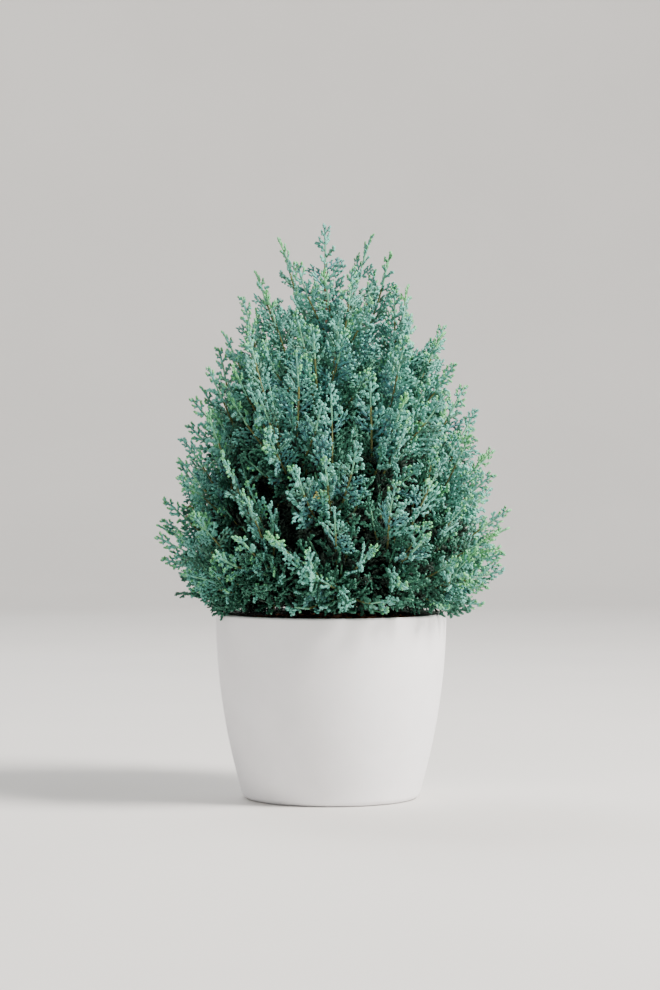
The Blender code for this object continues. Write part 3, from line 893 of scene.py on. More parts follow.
@dataclass(frozen=True)
class Plumes:
    """The twigs that branch off the shoots: a rule that sets them out over the whole crown."""

    shoots: Sequence[Shoot]
    layers: tuple[Layer, ...] = (
        Layer(98, -0.04, 0.03, 0.074, 0.106, lowest_tip=0.128),
        Layer(160, 0.11, 0.26, 0.055, 0.080, lowest_tip=0.126, highest_tip=0.344),
        Layer(135, 0.26, 0.48, 0.040, 0.062, highest_tip=0.322),
        Layer(100, 0.48, 0.80, 0.030, 0.052, highest_tip=0.300),
        Layer(110, 0.10, 0.42, 0.036, 0.062, lowest_tip=0.130, highest_tip=0.225, spread=0.25, lift=0.3),
        Layer(250, 0.03, 0.30, 0.022, 0.040, lowest_tip=0.1195, highest_tip=0.166, spread=0.5, lift=0.4),
        Layer(76, 0.50, 0.92, 0.024, 0.050, highest_tip=0.228, spread=0.5, lift=0.6),
    )
    thin_from: float = 0.26  # height above which tips grow sparser
    thin_share: float = 0.85  # of them are missing at the very top
    rows: int = 200  # heights at which the crown's area is added up
    heart_height: float = 0.112  # plumes point away from here
    front_lift: float = 0.12  # how far they turn upright at the front and the back
    forks_per_shoot: int = 40
    forked: tuple[float, float] = (0.03, 0.90)  # share of a shoot's foliage where they branch off
    shortest: float = 0.014
    longest: float = 0.108
    turn_cost: float = 0.45  # how much a sharp turn off the shoot counts against a straight plume
    length_cost: float = 7.0  # per metre off the wanted length
    turned_share: float = 0.10  # of plumes stand on edge in front and behind, and so many don't at the sides
    facing_lift: float = 0.3
    facing_scatter: float = 0.50
    leaving: float = 0.30  # share of its length over which a plume leaves its shoot
    arriving: float = 0.38  # share over which it turns to its aim
    base_radius: float = 0.00085
    tip_radius: float = 0.00055
    least_stoutness: float = 0.5
    stout_length: float = 0.09  # length that the whole of a plume's stoutness would grow over
    bare_share: float = 0.14
    roll: float = 26.0
    stem_bare: float = 0.004
    stem_roll: float = 60.0
    leader_bare: float = 0.002
    leader_roll: float = 50.0
    leader_facing: tuple[float, float, float] = (0.3, -1.0, 0.0)
    trunk_foliage: float = 0.285  # height from which the trunk itself carries sprays
    trunk_cover: float = 0.9  # radius of that stem as a share of the trunk's, to lie inside it
    outward_at: float = 0.8  # share of a shoot where its way out from the trunk is read
    heading_at: float = 0.7  # share of it where its own direction is read
    points: int = 13

    def grow(self) -> Iterator[Twig]:
        """Grows the twigs.

        Yields:
            The stem of each shoot, then a plume for each tip of each layer that has room for one.
        """
        for shoot in self.shoots:
            yield self._stem(shoot)
        forks = [
            (shoot, shoot.foliage_start() + (1 - shoot.foliage_start()) * share)
            for shoot in self.shoots
            for share in np.linspace(*self.forked, self.forks_per_shoot)
        ]
        places = np.array([shoot.point(share) for shoot, share in forks])
        headings = np.array([shoot.heading(share) for shoot, share in forks])
        for layer in self.layers:
            rng = random.Random(f"{SEED} plumes {layer.count}")
            for tip in self._tips(layer, rng):
                aim = (tip - UP * self.heart_height).normalized()
                lift = layer.lift + self.front_lift * tip.y**2 / (tip.x**2 + tip.y**2)
                aim = (aim + jitter(rng) * layer.spread + UP * lift).normalized()
                wanted = rng.uniform(layer.least_length, layer.most_length)
                chords = np.array(tip) - places
                lengths = np.linalg.norm(chords, axis=1)
                units = chords / lengths[:, None]
                off_aim = np.arccos(np.clip(units @ np.array(aim), -1, 1))
                off_shoot = np.arccos(np.clip((units * headings).sum(1), -1, 1))
                cost = off_aim + self.turn_cost * off_shoot + self.length_cost * np.abs(lengths - wanted)
                best = int(cost.argmin())
                if self.shortest < lengths[best] < self.longest:
                    root, heading = Vector(places[best]), Vector(headings[best])
                    plume = self._plume(root, heading, tip, aim, forks[best][0], rng)
                    if all(in_open_air(point) for point in plume.line):
                        yield plume

    def _stem(self, shoot: Shoot) -> Twig:
        """Makes the part of a shoot that carries foliage.

        Args:
            shoot: The shoot.

        Returns:
            Its stem as a twig, with sprays that stand on all sides.
        """
        line, radii = run(shoot, np.linspace(shoot.foliage_start(), 1.0, self.points + 2))
        if isinstance(shoot, LeadingShoot):
            below, trunk_radii = run(TRUNK, np.linspace(self.trunk_foliage, TRUNK.top, self.points))
            radii = [self.trunk_cover * radius for radius in trunk_radii] + radii
            facing = Vector(self.leader_facing).normalized()
            return Twig(below + line, radii, facing, self.leader_bare, self.leader_roll, shoot.region)
        outer = shoot.point(self.outward_at)
        across = UP.cross(outer - TRUNK.point(outer.z))
        facing = across.cross(shoot.heading(self.heading_at)).normalized()
        return Twig(line, radii, facing, self.stem_bare, self.stem_roll, shoot.region)

    def _tips(self, layer: Layer, rng: random.Random) -> Iterator[Vector]:
        """Spreads tips over the crown by the golden angle, evenly by area, at the layer's depth.

        Args:
            layer: Sets how many and how deep.
            rng: Where the depths come from.

        Yields:
            The place of each tip.
        """
        heights = np.linspace(layer.lowest_tip, layer.highest_tip, self.rows)
        radii = np.array([CROWN.radius_at(height) for height in heights])
        thinning = self.thin_share * np.clip((heights - self.thin_from) / (CROWN.top - self.thin_from), 0, 1)
        area = np.hypot(np.gradient(radii), np.gradient(heights)) * radii * (1.0 - thinning)
        share = np.cumsum(area) / area.sum()
        for index in range(layer.count):
            height = float(np.interp((index + 0.5) / layer.count, share, heights))
            level = CROWN.radius_at(height) * (1.0 - rng.uniform(layer.least_depth, layer.most_depth))
            turn = index * GOLDEN_ANGLE
            yield Vector((CROWN.shift + level * math.cos(turn), level * math.sin(turn), height))

    def _plume(
        self, root: Vector, heading: Vector, tip: Vector, aim: Vector, shoot: Shoot, rng: random.Random
    ) -> Twig:
        """Bends a plume out of its shoot and round to its aim.

        Args:
            root: Where it branches off.
            heading: The shoot's direction there.
            tip: Where it ends.
            aim: Its direction at the tip.
            shoot: The shoot that it belongs to.
            rng: Where its scatter comes from.

        Returns:
            The plume's twig.
        """
        reach = (tip - root).length
        first, second = root + heading * (self.leaving * reach), tip - aim * (self.arriving * reach)
        line = []
        for t in np.linspace(0.0, 1.0, self.points):
            near = root * (1 - t) ** 3 + first * (3 * t * (1 - t) ** 2)
            line.append(near + second * (3 * t * t * (1 - t)) + tip * t**3)
        outward = Vector((tip.x, tip.y, 0.0)).normalized()
        if rng.random() < self.turned_share + (1 - 2 * self.turned_share) * outward.x**2:
            outward = UP.cross(outward)
        facing = (outward + UP * self.facing_lift + jitter(rng) * self.facing_scatter).normalized()
        stout = min(1.0, self.least_stoutness + reach / self.stout_length)
        radii = list(np.linspace(self.base_radius * stout, self.tip_radius, self.points))
        return Twig(line, radii, facing, self.bare_share * reach, self.roll, shoot.region)


@dataclass(frozen=True)
class Sprays:
    """The rule that sets sprays along a twig in two rows and deals them their colours."""

    spacing: float = 0.0041
    spacing_scatter: tuple[float, float] = (0.75, 1.25)
    longest: float = 0.0205
    shortest: float = 0.0052
    slender: float = 0.009  # stretch at a twig's tip that carries only the shortest
    taper: float = 0.42  # length gained for each metre below that stretch
    length_scatter: tuple[float, float] = (0.8, 1.12)
    sizes_tried: tuple[float, ...] = (1.0, 0.75, 0.5)  # where there is no room for the whole spray
    final: float = 0.0150  # the spray that ends a twig
    final_share: float = 0.42  # of a short twig that it takes at most
    final_free: float = 0.9  # share of it that has to be in open air
    final_alone: float = 0.85  # share of it beside which no others stand
    angle: float = 45.0  # degrees between a spray and its twig
    angle_scatter: float = 7.0
    tip_opening: float = 0.74  # share of that angle at the twig's tip
    opening_length: float = 0.08  # what the whole angle would open over
    wobble: float = 0.4
    shade_start: float = 0.025  # depth in the crown at which old sprays begin: older foliage's darker green, dealt by depth as painted shade
    shade_end: float = 0.041
    dark_start: float = 0.034  # depth at which the darkest, a painted shade of nearly black green, begin
    dark_end: float = 0.049
    low_height: float = 0.185  # sprays below this get painted shade, standing for the crown's own shade, and their twigs are bluer
    low_shade: float = 0.41  # depth of painted shade that each metre below counts for
    low_dark: float = 0.8  # share of it that counts for the darkest painted shade
    low_cast: float = 6.0  # how much bluer, with fewer pale tips, for each metre: painted shade
    side_cast: float = 1.4  # how much greener twigs are on the left and the right
    side_even: float = 0.45  # share of the crown's radius at which they are neither
    top_height: float = 0.27  # twigs whose tips lie above this are greener and paler too: painted light from above
    top_cast: float = 10.0  # how much, for each metre
    cast_pull: float = 0.45  # how much a twig's cast sways its sprays
    tip_tones: tuple[tuple[float, tuple[tuple[float, Tone], ...]], ...] = (
        (0.006, ((0.95, Tone.NEW), (0.30, Tone.FRESH), (-math.inf, Tone.MINT))),
        (0.018, ((0.60, Tone.FRESH), (-math.inf, Tone.MINT))),
        (0.030, ((0.90, Tone.FRESH), (0.45, Tone.MINT), (-math.inf, Tone.GREEN))),
    )  # for each distance from a twig's tip, the chance above which a tone is dealt
    ochre_share: float = 0.006
    mint_above: float = 0.75
    green_above: tuple[float, float] = (0.45, 1.15)  # cast above which a spray is green and not blue

    def grow(self, twigs: Iterable[Twig]) -> Iterator[Spray]:
        """Yields every spray of every twig."""
        for number, twig in enumerate(twigs):
            yield from self._along(twig, random.Random(f"{SEED} sprays {number}"))

    def _along(self, twig: Twig, rng: random.Random) -> Iterator[Spray]:
        """Sets sprays along one twig.

        Args:
            twig: The twig.
            rng: Where their scatter comes from.

        Yields:
            One spray that ends the twig, then two rows of them.
        """
        length = twig.length()
        tip = twig.line[-1]
        cast = rng.random() + self.side_cast * (abs(tip.x) / CROWN.radius - self.side_even)
        # Higher twigs lean to paler, greener tones as painted light from above, and low ones to bluer tones
        # as painted shade.
        cast += self.top_cast * max(0.0, tip.z - self.top_height)
        cast -= self.low_cast * max(0.0, self.low_height - tip.z)
        final = min(self.final, self.final_share * length)
        end, heading = twig.walk(length - final)
        if in_open_air(end + heading * (self.final_free * final)):
            tone = self._tone(end, 0.0, cast, rng)
            yield Spray(end, heading, twig.facing, final, tone, twig.region, ends_twig=True)
        distance = twig.bare + rng.uniform(0.0, self.spacing)
        hand = rng.choice((-1, 1))
        while distance < length - self.final_alone * final:
            from_tip = length - distance
            place, heading = twig.walk(distance)
            side = twig.facing.cross(heading).normalized()
            facing, outward = heading.cross(side), side * hand
            roll = math.radians(sway(rng, twig.roll))
            opening = min(1.0, self.tip_opening + from_tip / self.opening_length)
            lean = math.radians(self.angle * opening + sway(rng, self.angle_scatter))
            along = swing(heading, swing(outward, facing, roll), lean)
            normal = swing(facing, -outward, roll) + jitter(rng) * self.wobble
            full = self.shortest + self.taper * max(0.0, from_tip - self.slender)
            full = min(self.longest, full) * rng.uniform(*self.length_scatter)
            tone = self._tone(place + along * (0.5 * full), from_tip, cast, rng)
            for size in (share * full for share in self.sizes_tried):
                if in_open_air(place + along * size) and in_open_air(place):
                    yield Spray(place, along, normal.normalized(), size, tone, twig.region)
                    break
            distance += self.spacing * rng.uniform(*self.spacing_scatter)
            hand = -hand

    def _tone(self, place: Vector, from_tip: float, cast: float, rng: random.Random) -> Tone:
        """Deals a spray its colours.

        Args:
            place: The spray's middle.
            from_tip: Its distance from the twig's tip.
            cast: The twig's leaning, from about 0 for blue to about 1 for green, which carries painted light
                at the top and painted shade low down.
            rng: Where its own scatter comes from.

        Returns:
            Darker tones in the crown's depth and low down, as painted shade, and fresher ones at the twigs'
            tips.
        """
        depth, low = CROWN.depth(place), self.low_shade * max(0.0, self.low_height - place.z)
        past_dark = depth + self.low_dark * low - self.dark_start
        if rng.random() < past_dark / (self.dark_end - self.dark_start):
            return Tone.SHADED
        past_shade = depth + low - self.shade_start
        if rng.random() < past_shade / (self.shade_end - self.shade_start):
            return Tone.OLD
        chance = rng.random() + self.cast_pull * (cast - 0.5)
        for reach, tones in self.tip_tones:
            if from_tip < reach:
                return next(tone for least, tone in tones if chance > least)
        if rng.random() < self.ochre_share:
            return Tone.OCHRE
        if chance > self.mint_above:
            return Tone.MINT
        return Tone.GREEN if cast > rng.uniform(*self.green_above) else Tone.BLUE


class SprayKind(Enum):
    """Kinds of spray models, by their length."""

    LONG = 0.0170
    SHORT = 0.0095
    BUD = 0.0056
    INNER = 0.0150  # deep in the crown: without tips of its own
    END = 0.0149  # ends a twig: bushy all round


@dataclass(frozen=True)
class SprayModel:
    """A model of spray that lies along +X with its flat side up: a scaly axis with fingers at its sides."""

    kind: SprayKind
    fingers: int
    longest_finger: float
    bow: float  # how far its tip swings to its left, as a share of its length
    lift: float  # how far its tip rises
    seed: int
    fullest: float = 0.40  # where its fingers are longest, as a share of its length
    splay: float = 21.0  # degrees that fingers may stand out of the flat
    width: float = 0.0022
    shortest_finger: float = 0.0018
    budded_from: float = 0.0038  # fingers longer than this carry a bud
    first: float = 0.12  # share of the axis where fingers begin
    fingered: float = 0.68  # share of it that carries them
    lean: float = 58.0  # degrees between axis and finger at the root
    lean_drop: float = 16.0  # by which that is less at the tip
    lean_scatter: float = 7.0
    curl: tuple[float, float] = (16.0, 36.0)  # degrees that a finger turns on towards the tip
    twist: float = 0.4
    fullness: float = 2.1  # how fast fingers shorten away from the fullest place
    step: float = 0.02  # share of the axis over which its direction is read
    length_scatter: tuple[float, float] = (0.84, 1.16)
    width_scatter: tuple[float, float] = (0.88, 1.08)

    def _axis(self, *shares: float) -> list[Vector]:
        """Returns points on the spray's axis."""
        bent = [Vector((share, self.bow * share**2, self.lift * share**2)) for share in shares]
        return [point * self.kind.value for point in bent]

    def shapes(self) -> tuple[Shape, Shape]:
        """Builds the axis with its fingers, and their tips, whose paler finish is partly fresh growth and
        partly a painted highlight.

        Returns:
            The two shapes. An inner model has all in the first, and the second is empty.
        """
        rng = random.Random(self.seed)
        body, tips = Shape(), Shape()
        wide = self.width
        # Places are shares of the axis, and widths are shares of the full width.
        if self.kind is SprayKind.INNER:
            body.add_finger(self._axis(0.0, 0.3, 0.8, 1.0), UP, (0.7 * wide, 0.9 * wide))
        else:
            widths = (0.75 * wide, 0.95 * wide, 0.8 * wide, 0.95 * wide)
            body.add_finger(self._axis(0.0, 0.12, 0.32, 0.52, 0.70, 0.86), UP, widths)
            tips.add_finger(self._axis(0.62, 0.76, 0.92, 1.0), UP, (wide, 0.85 * wide))
        hand = rng.choice((-1, 1))
        for index in range(self.fingers):
            share = self.first + self.fingered * index / max(self.fingers - 1, 1)
            self._finger(share, hand, rng, body, tips)
            hand = -hand
        return body, tips

    def _finger(self, share: float, hand: int, rng: random.Random, body: Shape, tips: Shape) -> None:
        """Adds one finger, which curves towards the spray's tip.

        Args:
            share: Its place on the axis.
            hand: 1 on the axis's left and -1 on its right.
            rng: Where its scatter comes from.
            body: The shape that gets its lower part.
            tips: The shape that gets its upper part.
        """
        behind, root, ahead = self._axis(share - self.step, share, share + self.step)
        forward = (ahead - behind).normalized()
        tilt = math.radians(sway(rng, self.splay))
        outward = swing(UP.cross(forward).normalized() * hand, UP, tilt)
        lean = math.radians(self.lean - self.lean_drop * share + sway(rng, self.lean_scatter))
        curl = lean - math.radians(rng.uniform(*self.curl))
        out, on = swing(forward, outward, lean), swing(forward, outward, curl)
        face = UP + outward * sway(rng, self.twist)
        bulge = math.cos(self.fullness * (share - self.fullest))
        length = self.shortest_finger + (self.longest_finger - self.shortest_finger) * bulge
        length *= rng.uniform(*self.length_scatter)
        wide = self.width * rng.uniform(*self.width_scatter)
        bend = root + out * (0.5 * length)
        # From here on, places are shares of the finger's length, and widths are shares of its own.
        if self.kind is SprayKind.INNER:
            body.add_finger([root, bend, root + on * length], face, (wide,))
            return
        line = [root, root + out * (0.18 * length), bend, bend + on * (0.26 * length)]
        body.add_finger(line, face, (0.75 * wide, 0.95 * wide))
        line = [root + out * (0.36 * length), *(bend + on * (part * length) for part in (0.10, 0.42, 0.55))]
        tips.add_finger(line, face, (wide, 0.8 * wide))
        if length > self.budded_from:
            spread = (out * 1.5 - forward).normalized()
            start = root + out * (0.30 * length)
            line = [start, start + spread * (0.26 * length), start + spread * (0.42 * length)]
            body.add_finger(line, face, (0.85 * wide,))


SPRAY_MODELS = (
    SprayModel(SprayKind.LONG, 6, 0.0061, -0.12, 0.12, 1),
    SprayModel(SprayKind.LONG, 6, 0.0057, 0.10, -0.06, 2),
    SprayModel(SprayKind.LONG, 6, 0.0064, 0.18, 0.16, 3),
    SprayModel(SprayKind.LONG, 7, 0.0056, -0.04, 0.04, 4),
    SprayModel(SprayKind.LONG, 6, 0.0062, -0.20, -0.02, 5),
    SprayModel(SprayKind.SHORT, 4, 0.0030, -0.08, 0.10, 6),
    SprayModel(SprayKind.SHORT, 5, 0.0026, 0.12, 0.02, 7),
    SprayModel(SprayKind.SHORT, 4, 0.0028, 0.02, 0.14, 8),
    SprayModel(SprayKind.BUD, 2, 0.0018, 0.05, 0.05, 11),
    SprayModel(SprayKind.BUD, 1, 0.0020, -0.08, 0.10, 12),
    SprayModel(SprayKind.BUD, 2, 0.0017, -0.04, -0.05, 13),
    SprayModel(SprayKind.END, 5, 0.0062, 0.04, 0.03, 14, fullest=0.25, splay=60.0),
    SprayModel(SprayKind.END, 6, 0.0058, -0.05, -0.03, 15, fullest=0.20, splay=60.0),
    SprayModel(SprayKind.END, 5, 0.0065, 0.02, 0.06, 16, fullest=0.30, splay=60.0),
    SprayModel(SprayKind.INNER, 6, 0.0050, -0.10, 0.10, 9),
    SprayModel(SprayKind.INNER, 6, 0.0050, 0.10, 0.02, 10),
)


@dataclass
class Foliage:
    """All the sprays, joined by finish and by region of the crown."""

    sprays: Sequence[Spray]
    masses: Sequence[str]
    bud_below: float = 0.0072  # length of spray up to which it is a bud
    short_below: float = 0.0120

    def build(self) -> None:
        """Grows the sprays into pieces and dresses them."""
        shapes = [model.shapes() for model in SPRAY_MODELS]
        models = Models("spray", [body for body, _ in shapes] + [tips for _, tips in shapes])
        grower = model_grower()
        rng = random.Random(SEED)
        groups: dict[tuple[Region, Finish], list[tuple[Spray, float, int]]] = {}
        for spray in self.sprays:
            wanted = self._kind(spray)
            body = rng.choice([index for index, model in enumerate(SPRAY_MODELS) if model.kind is wanted])
            numbers = (body,) if wanted is SprayKind.INNER else (body, body + len(SPRAY_MODELS))
            size = spray.length / wanted.value
            for finish, number in zip(spray.tone.value, numbers):
                groups.setdefault((spray.region, finish), []).append((spray, size, number))
        for (region, finish), rows in groups.items():
            sprays, sizes, kinds = zip(*rows)
            roots = Shape([spray.root for spray in sprays])
            piece = roots.to_object(f"{finish.name}_{region.name.lower()}")
            nodes = [name for name in self.masses if name.split("_")[1] in region.value]
            notes = {label: [getattr(spray, label) for spray in sprays] for label in ("along", "facing")}
            notes |= {"size": sizes, "kind": kinds}
            grower.grow(piece, finish, nodes, notes, {"Models": models.collection})
        models.drop()

    def _kind(self, spray: Spray) -> SprayKind:
        """Picks a model for a spray.

        Args:
            spray: The spray.

        Returns:
            The kind of its model.
        """
        if spray.tone is Tone.SHADED:
            return SprayKind.INNER
        if spray.ends_twig:
            return SprayKind.END
        if spray.length < self.bud_below:
            return SprayKind.BUD
        return SprayKind.SHORT if spray.length < self.short_below else SprayKind.LONG


@dataclass(frozen=True)
class Bark:
    """How stems are wrapped: their finish, the corners round them, and the plates that stand out."""

    finish: Finish
    sides: int
    relief: float  # as a share of the stem's radius
    plate: float  # across


@dataclass
class Stems:
    """Trunk, boughs and twigs: round stems about lines, with the relief of their bark."""

    shoots: Sequence[Shoot]
    twigs: Sequence[Twig]
    masses: Sequence[str]
    trunk_bark: Bark = Bark(TRUNK_BARK, 28, 0.13, 0.0045)
    bough_bark: Bark = Bark(TRUNK_BARK, 12, 0.10, 0.003)
    twig_bark: Bark = Bark(TWIG_BARK, 5, 0.08, 0.002)
    twig_skin: Bark = Bark(GREEN_TWIGS, 5, 0.25, 0.0014)
    trunk_points: int = 160
    trunk_crowding: float = 1.4  # of the points towards the root flare
    bough_points: int = 30
    green_end: float = 0.024  # stretch of a twig that hasn't turned brown
    green_share: float = 0.5  # of the twig that it is at most
    hidden_end: float = 0.009  # stretch inside the spray that ends it
    hidden_share: float = 0.3  # of the twig that it is at most

    def build(self) -> None:
        """Grows the stems into pieces and dresses them."""
        rise = np.linspace(0.0, 1.0, self.trunk_points) ** self.trunk_crowding
        heights = TRUNK.ground + GAP + (TRUNK.top - TRUNK.ground - GAP) * rise
        bare = [shoot for shoot in self.shoots if shoot.whorl.bare_share]
        boughs = [
            run(shoot, np.linspace(shoot.trunk_edge(), shoot.whorl.bare_share, self.bough_points))
            for shoot in bare
        ]
        brown, green = [], []
        for twig in self.twigs:
            length = twig.length()
            turn = length - min(self.green_end, self.green_share * length)
            brown.append(twig.stretch(0.0, turn))
            green.append(twig.stretch(turn, length - min(self.hidden_end, self.hidden_share * length)))
        grower = stem_grower()
        for name, lines, bark, nodes in (
            ("trunk_barked", [run(TRUNK, heights)], self.trunk_bark, ["trunk"]),
            ("boughs_barked", boughs, self.bough_bark, [f"bough_{shoot.name}" for shoot in bare]),
            ("twigs_brown", brown, self.twig_bark, self.masses),
            ("twigs_green", green, self.twig_skin, self.masses),
        ):
            sketch = Shape()
            for line, _ in lines:
                sketch.add_line(line)
            notes = {"thickness": [radius for _, radii in lines for radius in radii]}
            values = {"Sides": bark.sides, "Relief": bark.relief, "Plate": bark.plate}
            grower.grow(sketch.to_object(name), bark.finish, nodes, notes, values)


# Pot and soil


@dataclass(frozen=True)
class WhitePot:
    """The outer pot: a thrown cup whose wall bows out towards a plain rim."""

    height: float = 0.120
    rim_radius: float = 0.075
    foot_radius: float = 0.057
    wall: float = 0.006
    floor: float = 0.006
    foot_round: float = 0.0048
    foot_spread: float = 0.0012
    lip_round: float = 0.0016
    wall_span: tuple[float, float] = (0.12, 0.95)  # shares of its height between which the wall's rows lie
    wall_rows: int = 22
    steps: int = 180

    def radius_at(self, height: float) -> float:
        """Returns the outer radius at a height."""
        down = (self.height - height) / self.height
        return self.rim_radius - (self.rim_radius - self.foot_radius) * down**2

    def build(self) -> None:
        """Turns the pot and dresses it."""
        foot = (self.foot_radius + self.foot_spread - self.foot_round, self.foot_round)
        lip = self.height - self.lip_round
        inner_lip = self.rim_radius - self.wall + self.lip_round
        walls = np.linspace(*self.wall_span, self.wall_rows) * self.height
        profile = [(0.0, 0.0), (0.4 * foot[0], 0.0), (foot[0] - MILLIMETRE, 0.0)]
        profile += arc(foot, self.foot_round, -90, -10, 10)
        profile += [(self.radius_at(height), height) for height in walls]
        profile += arc((self.rim_radius - self.lip_round, lip), self.lip_round, 0, 90, 8)
        profile += arc((inner_lip, lip), self.lip_round, 90, 180, 8)
        profile += [(self.radius_at(height) - self.wall, height) for height in walls[::-1]]
        profile += [(self.radius_at(self.floor) - self.wall, self.floor), (0.0, self.floor)]
        dress(turned(profile, self.steps).to_object("pot_glazed"), POT_GLAZE, ["pot"])


@dataclass(frozen=True)
class GrowingPot:
    """The thin black pot that the plant was grown in, which stands inside the white one."""

    base: float = WhitePot.floor + GAP
    height: float = 0.112
    rim_radius: float = 0.0675
    foot_radius: float = 0.050
    wall: float = 0.0012
    foot_round: float = 0.0015
    steps: int = 120

    def outside(self, share: float) -> tuple[float, float]:
        """Returns the outer radius and the height at a share of the wall."""
        spread = self.rim_radius - self.foot_radius
        return self.foot_radius + spread * share, self.base + self.height * share

    def build(self) -> None:
        """Turns the pot and dresses it."""
        top = self.base + self.height
        half = 0.5 * self.wall
        profile = [(0.0, self.base), (self.foot_radius - self.foot_round, self.base)]
        profile += [(self.foot_radius, self.base + self.foot_round)]
        profile += [self.outside(share) for share in (0.3, 0.6, 0.9)]
        profile += arc((self.rim_radius - half, top - half), half, 0, 180, 6)
        profile += [(radius - self.wall, height) for radius, height in map(self.outside, (0.9, 0.5))]
        profile += [(self.foot_radius - self.wall, self.base + self.wall), (0.0, self.base + self.wall)]
        liner = turned(profile, self.steps)
        dress(liner.to_object("growing_pot_moulded"), LINER_PLASTIC, ["growing_pot"])


@dataclass(frozen=True)
class PottingSoil:
    """Soil that fills the growing pot, with crumbs and chips of bark lying on it."""

    edge_drop: float = 0.0014
    depth: float = 0.012  # of the part that is dressed
    rings: int = 54
    steps: int = 160
    lumps: float = 0.0007
    lump_scales: tuple[float, float] = (260.0, 700.0)  # for each metre, coarse and fine
    fine_share: float = 0.6
    smooth_to: float = 0.006  # distance from the trunk at which lumps begin
    lumpy_after: float = 0.01  # distance over which they grow
    chips: int = 26000  # for each square metre
    chip_sizes: tuple[float, float] = (0.7, 1.9)  # smallest and largest, as multiples of the model
    crumbs: int = 80000
    crumb_sizes: tuple[float, float] = (0.25, 0.75)
    chip_kinds: int = 6
    chip_length: float = 0.004
    chip_width: float = 0.0022
    chip_flatness: float = 0.35
    level_from: float = 0.6  # upright part of the soil's normal from which litter lies on it
    tilt: float = 0.4  # radians that a piece of litter may tip

    def build(self) -> None:
        """Builds the soil's top and its litter, and dresses them."""
        ground = self._ground().to_object("soil_lumpy")
        models = Models("chip", [self._chip(seed) for seed in range(self.chip_kinds)])
        grower = litter_grower(self.chip_kinds, self.level_from, self.tilt)
        for name, density, finish, sizes in (
            ("bark_chips", self.chips, CHIPPED_BARK, self.chip_sizes),
            ("soil_crumbs", self.crumbs, PEAT, self.crumb_sizes),
        ):
            litter = ground.copy()
            litter.data = ground.data.copy()
            litter.name = name
            bpy.context.scene.collection.objects.link(litter)
            values = {"Models": models.collection, "Pieces per m2": density, "Seed": SEED}
            values |= {"Least size": sizes[0], "Most size": sizes[1]}
            grower.grow(litter, finish, ["soil"], {}, values)
        dress(ground, PEAT, ["soil"])
        models.drop()

    def _ground(self) -> Shape:
        """Turns the soil's upper part and raises lumps on it.

        Returns:
            The closed shape.
        """
        edge = GrowingPot.rim_radius - GrowingPot.wall - 2 * GAP
        low = TRUNK.ground - self.depth
        profile = [(0.0, low), (edge - 2 * MILLIMETRE, low)]
        for level in np.linspace(edge, MILLIMETRE, self.rings):
            profile.append((level, TRUNK.ground - self.edge_drop * (level / edge) ** 2))
        profile.append((0.0, TRUNK.ground))
        soil = turned(profile, self.steps)
        coarse, fine = self.lump_scales
        for index, point in enumerate(soil.points):
            if point.z > low + MILLIMETRE:
                from_trunk = math.hypot(point.x, point.y) - self.smooth_to
                lump = noise.noise(point * coarse) + self.fine_share * noise.noise(point * fine)
                fade = min(1.0, max(0.0, from_trunk / self.lumpy_after))
                soil.points[index] = point + UP * (self.lumps * lump * fade)
        return soil

    def _chip(self, seed: int) -> Shape:
        """Builds a flat, uneven chip.

        Args:
            seed: Which chip.

        Returns:
            Its shape.
        """
        rng = random.Random(seed)
        chip = Shape()
        shares = (0.0, 0.12, 0.4, 0.7, 0.92, 1.0)
        line = [Vector((self.chip_length * (share - 0.5), 0.0, 0.0)) for share in shares]
        widths = [self.chip_width * rng.uniform(0.7, 1.1) for _ in line[1:-1]]
        chip.add_finger(line, UP, widths, self.chip_flatness, 5)
        return chip


# Studio


@dataclass(frozen=True)
class Lamp:
    """A soft round light."""

    name: str
    place: tuple[float, float, float]
    size: float
    power: float
    colour: str
    target: tuple[float, float, float] = (0.0, 0.0, 0.2)

    def build(self) -> None:
        """Hangs the lamp."""
        light = bpy.data.lights.new(self.name, "AREA")
        light.shape = "DISK"
        light.size = self.size
        light.energy = self.power
        light.color = linear(self.colour)[:3]
        lamp = bpy.data.objects.new(self.name, light)
        lamp.location = self.place
        lamp.rotation_euler = (Vector(self.place) - Vector(self.target)).to_track_quat("Z", "Y").to_euler()
        bpy.context.scene.collection.objects.link(lamp)


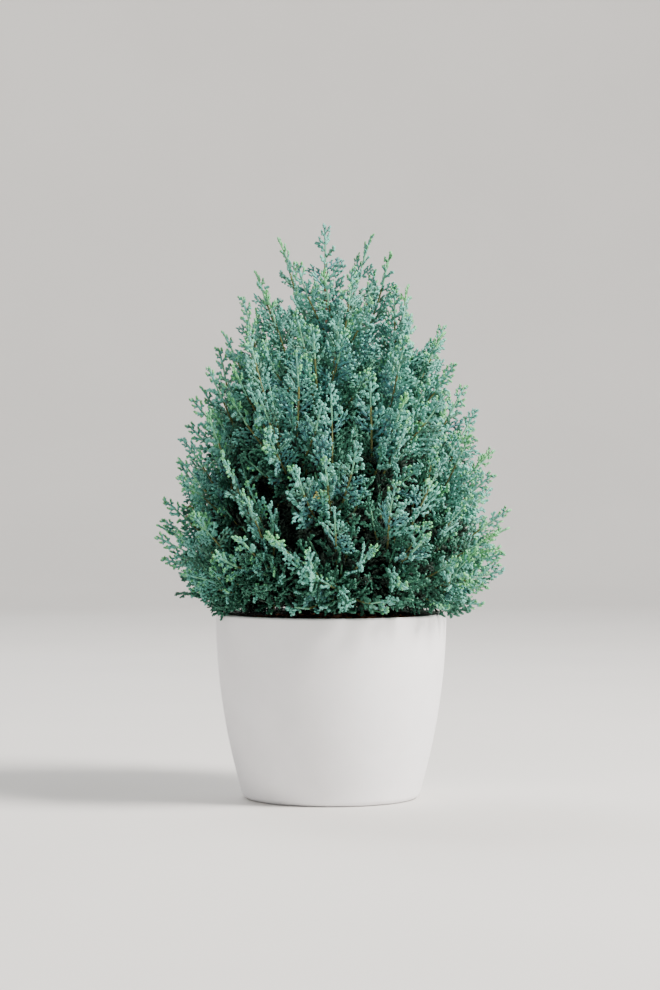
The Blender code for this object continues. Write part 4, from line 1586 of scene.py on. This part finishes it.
@dataclass(frozen=True)
class Studio:
    """A pale floor that turns up into a wall all round, soft lights, and the camera."""

    floor_radius: float = 2.6
    corner: float = 1.2
    wall_top: float = 3.2
    steps: int = 96
    lamps: tuple[Lamp, ...] = (
        Lamp("key", (1.50, -0.70, 1.90), 0.85, 168.0, "#fffaf4"),
        Lamp("side_light", (1.70, -0.35, 0.35), 0.6, 17.0, "#fffaf4", target=(0.0, 0.0, 0.08)),
        Lamp("fill", (-1.6, -1.5, 1.2), 1.3, 6.0, "#f2f6ff"),
        Lamp("back_light", (-0.7, 1.1, 1.8), 0.9, 25.0, "#ffffff"),
        Lamp("wall_light", (0.0, 1.3, 2.6), 1.6, 40.0, "#ffffff", target=(0.0, 3.6, 0.7)),
    )
    sky: str = "#eef2f6"
    sky_strength: float = 0.40
    camera_place: tuple[float, float, float] = (-0.0007, -1.77, 0.211)
    camera_pitch: float = 0.46  # degrees down
    camera_lens: float = 98.8  # millimetres
    camera_frame: float = 36.0  # millimetres
    camera_range: tuple[float, float] = (0.05, 20.0)

    def build(self) -> None:
        """Builds the set."""
        floor = self._bowl().to_object("floor")
        floor.data.materials.append(PAPER.material())
        for lamp in self.lamps:
            lamp.build()
        world = bpy.data.worlds.new("studio")
        world.use_nodes = True
        background = world.node_tree.nodes["Background"]
        background.inputs["Color"].default_value = linear(self.sky)
        background.inputs["Strength"].default_value = self.sky_strength
        bpy.context.scene.world = world
        self._place_camera()

    def _bowl(self) -> Shape:
        """Turns the floor with its wall.

        Returns:
            Their shape, with its faces towards the middle.
        """
        profile = [(self.floor_radius * share, 0.0) for share in (0.12, 0.3, 0.6, 1.0)]
        profile += arc((self.floor_radius, self.corner), self.corner, -90, 0, 14)
        profile += [(self.floor_radius + self.corner, self.wall_top)]
        bowl = Shape([point for radius, height in profile for point in circle(radius, height, self.steps)])
        for low in range(0, len(bowl.points) - self.steps, self.steps):
            for step in range(self.steps):
                after, high = (step + 1) % self.steps, low + self.steps
                bowl.faces.append((low + after, low + step, high + step, high + after))
        bowl.faces.append(tuple(range(self.steps)))
        return bowl

    def _place_camera(self) -> None:
        """Puts the camera where the photograph was taken from."""
        camera = bpy.data.cameras.new("camera")
        camera.lens = self.camera_lens
        camera.sensor_width = self.camera_frame
        camera.sensor_fit = "AUTO"
        camera.clip_start, camera.clip_end = self.camera_range
        holder = bpy.data.objects.new("camera", camera)
        holder.location = self.camera_place
        holder.rotation_euler = (math.radians(90.0 - self.camera_pitch), 0.0, 0.0)
        bpy.context.scene.collection.objects.link(holder)
        bpy.context.scene.camera = holder


def main() -> None:
    """Dresses the frame."""
    logging.basicConfig(level=logging.INFO, format="%(name)s: %(message)s")
    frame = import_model()
    masses = [name for name in frame["nodes"] if name.startswith("foliage_")]
    shoots = [shoot for whorl in WHORLS for shoot in whorl.shoots()] + [LeadingShoot()]
    twigs = list(Plumes(shoots).grow())
    sprays = list(Sprays().grow(twigs))
    log.info("%d shoots, %d twigs, %d sprays", len(shoots), len(twigs), len(sprays))
    Stems(shoots, twigs, masses).build()
    Foliage(sprays, masses).build()
    WhitePot().build()
    GrowingPot().build()
    PottingSoil().build()
    Studio().build()


if __name__ == "__main__":
    main()
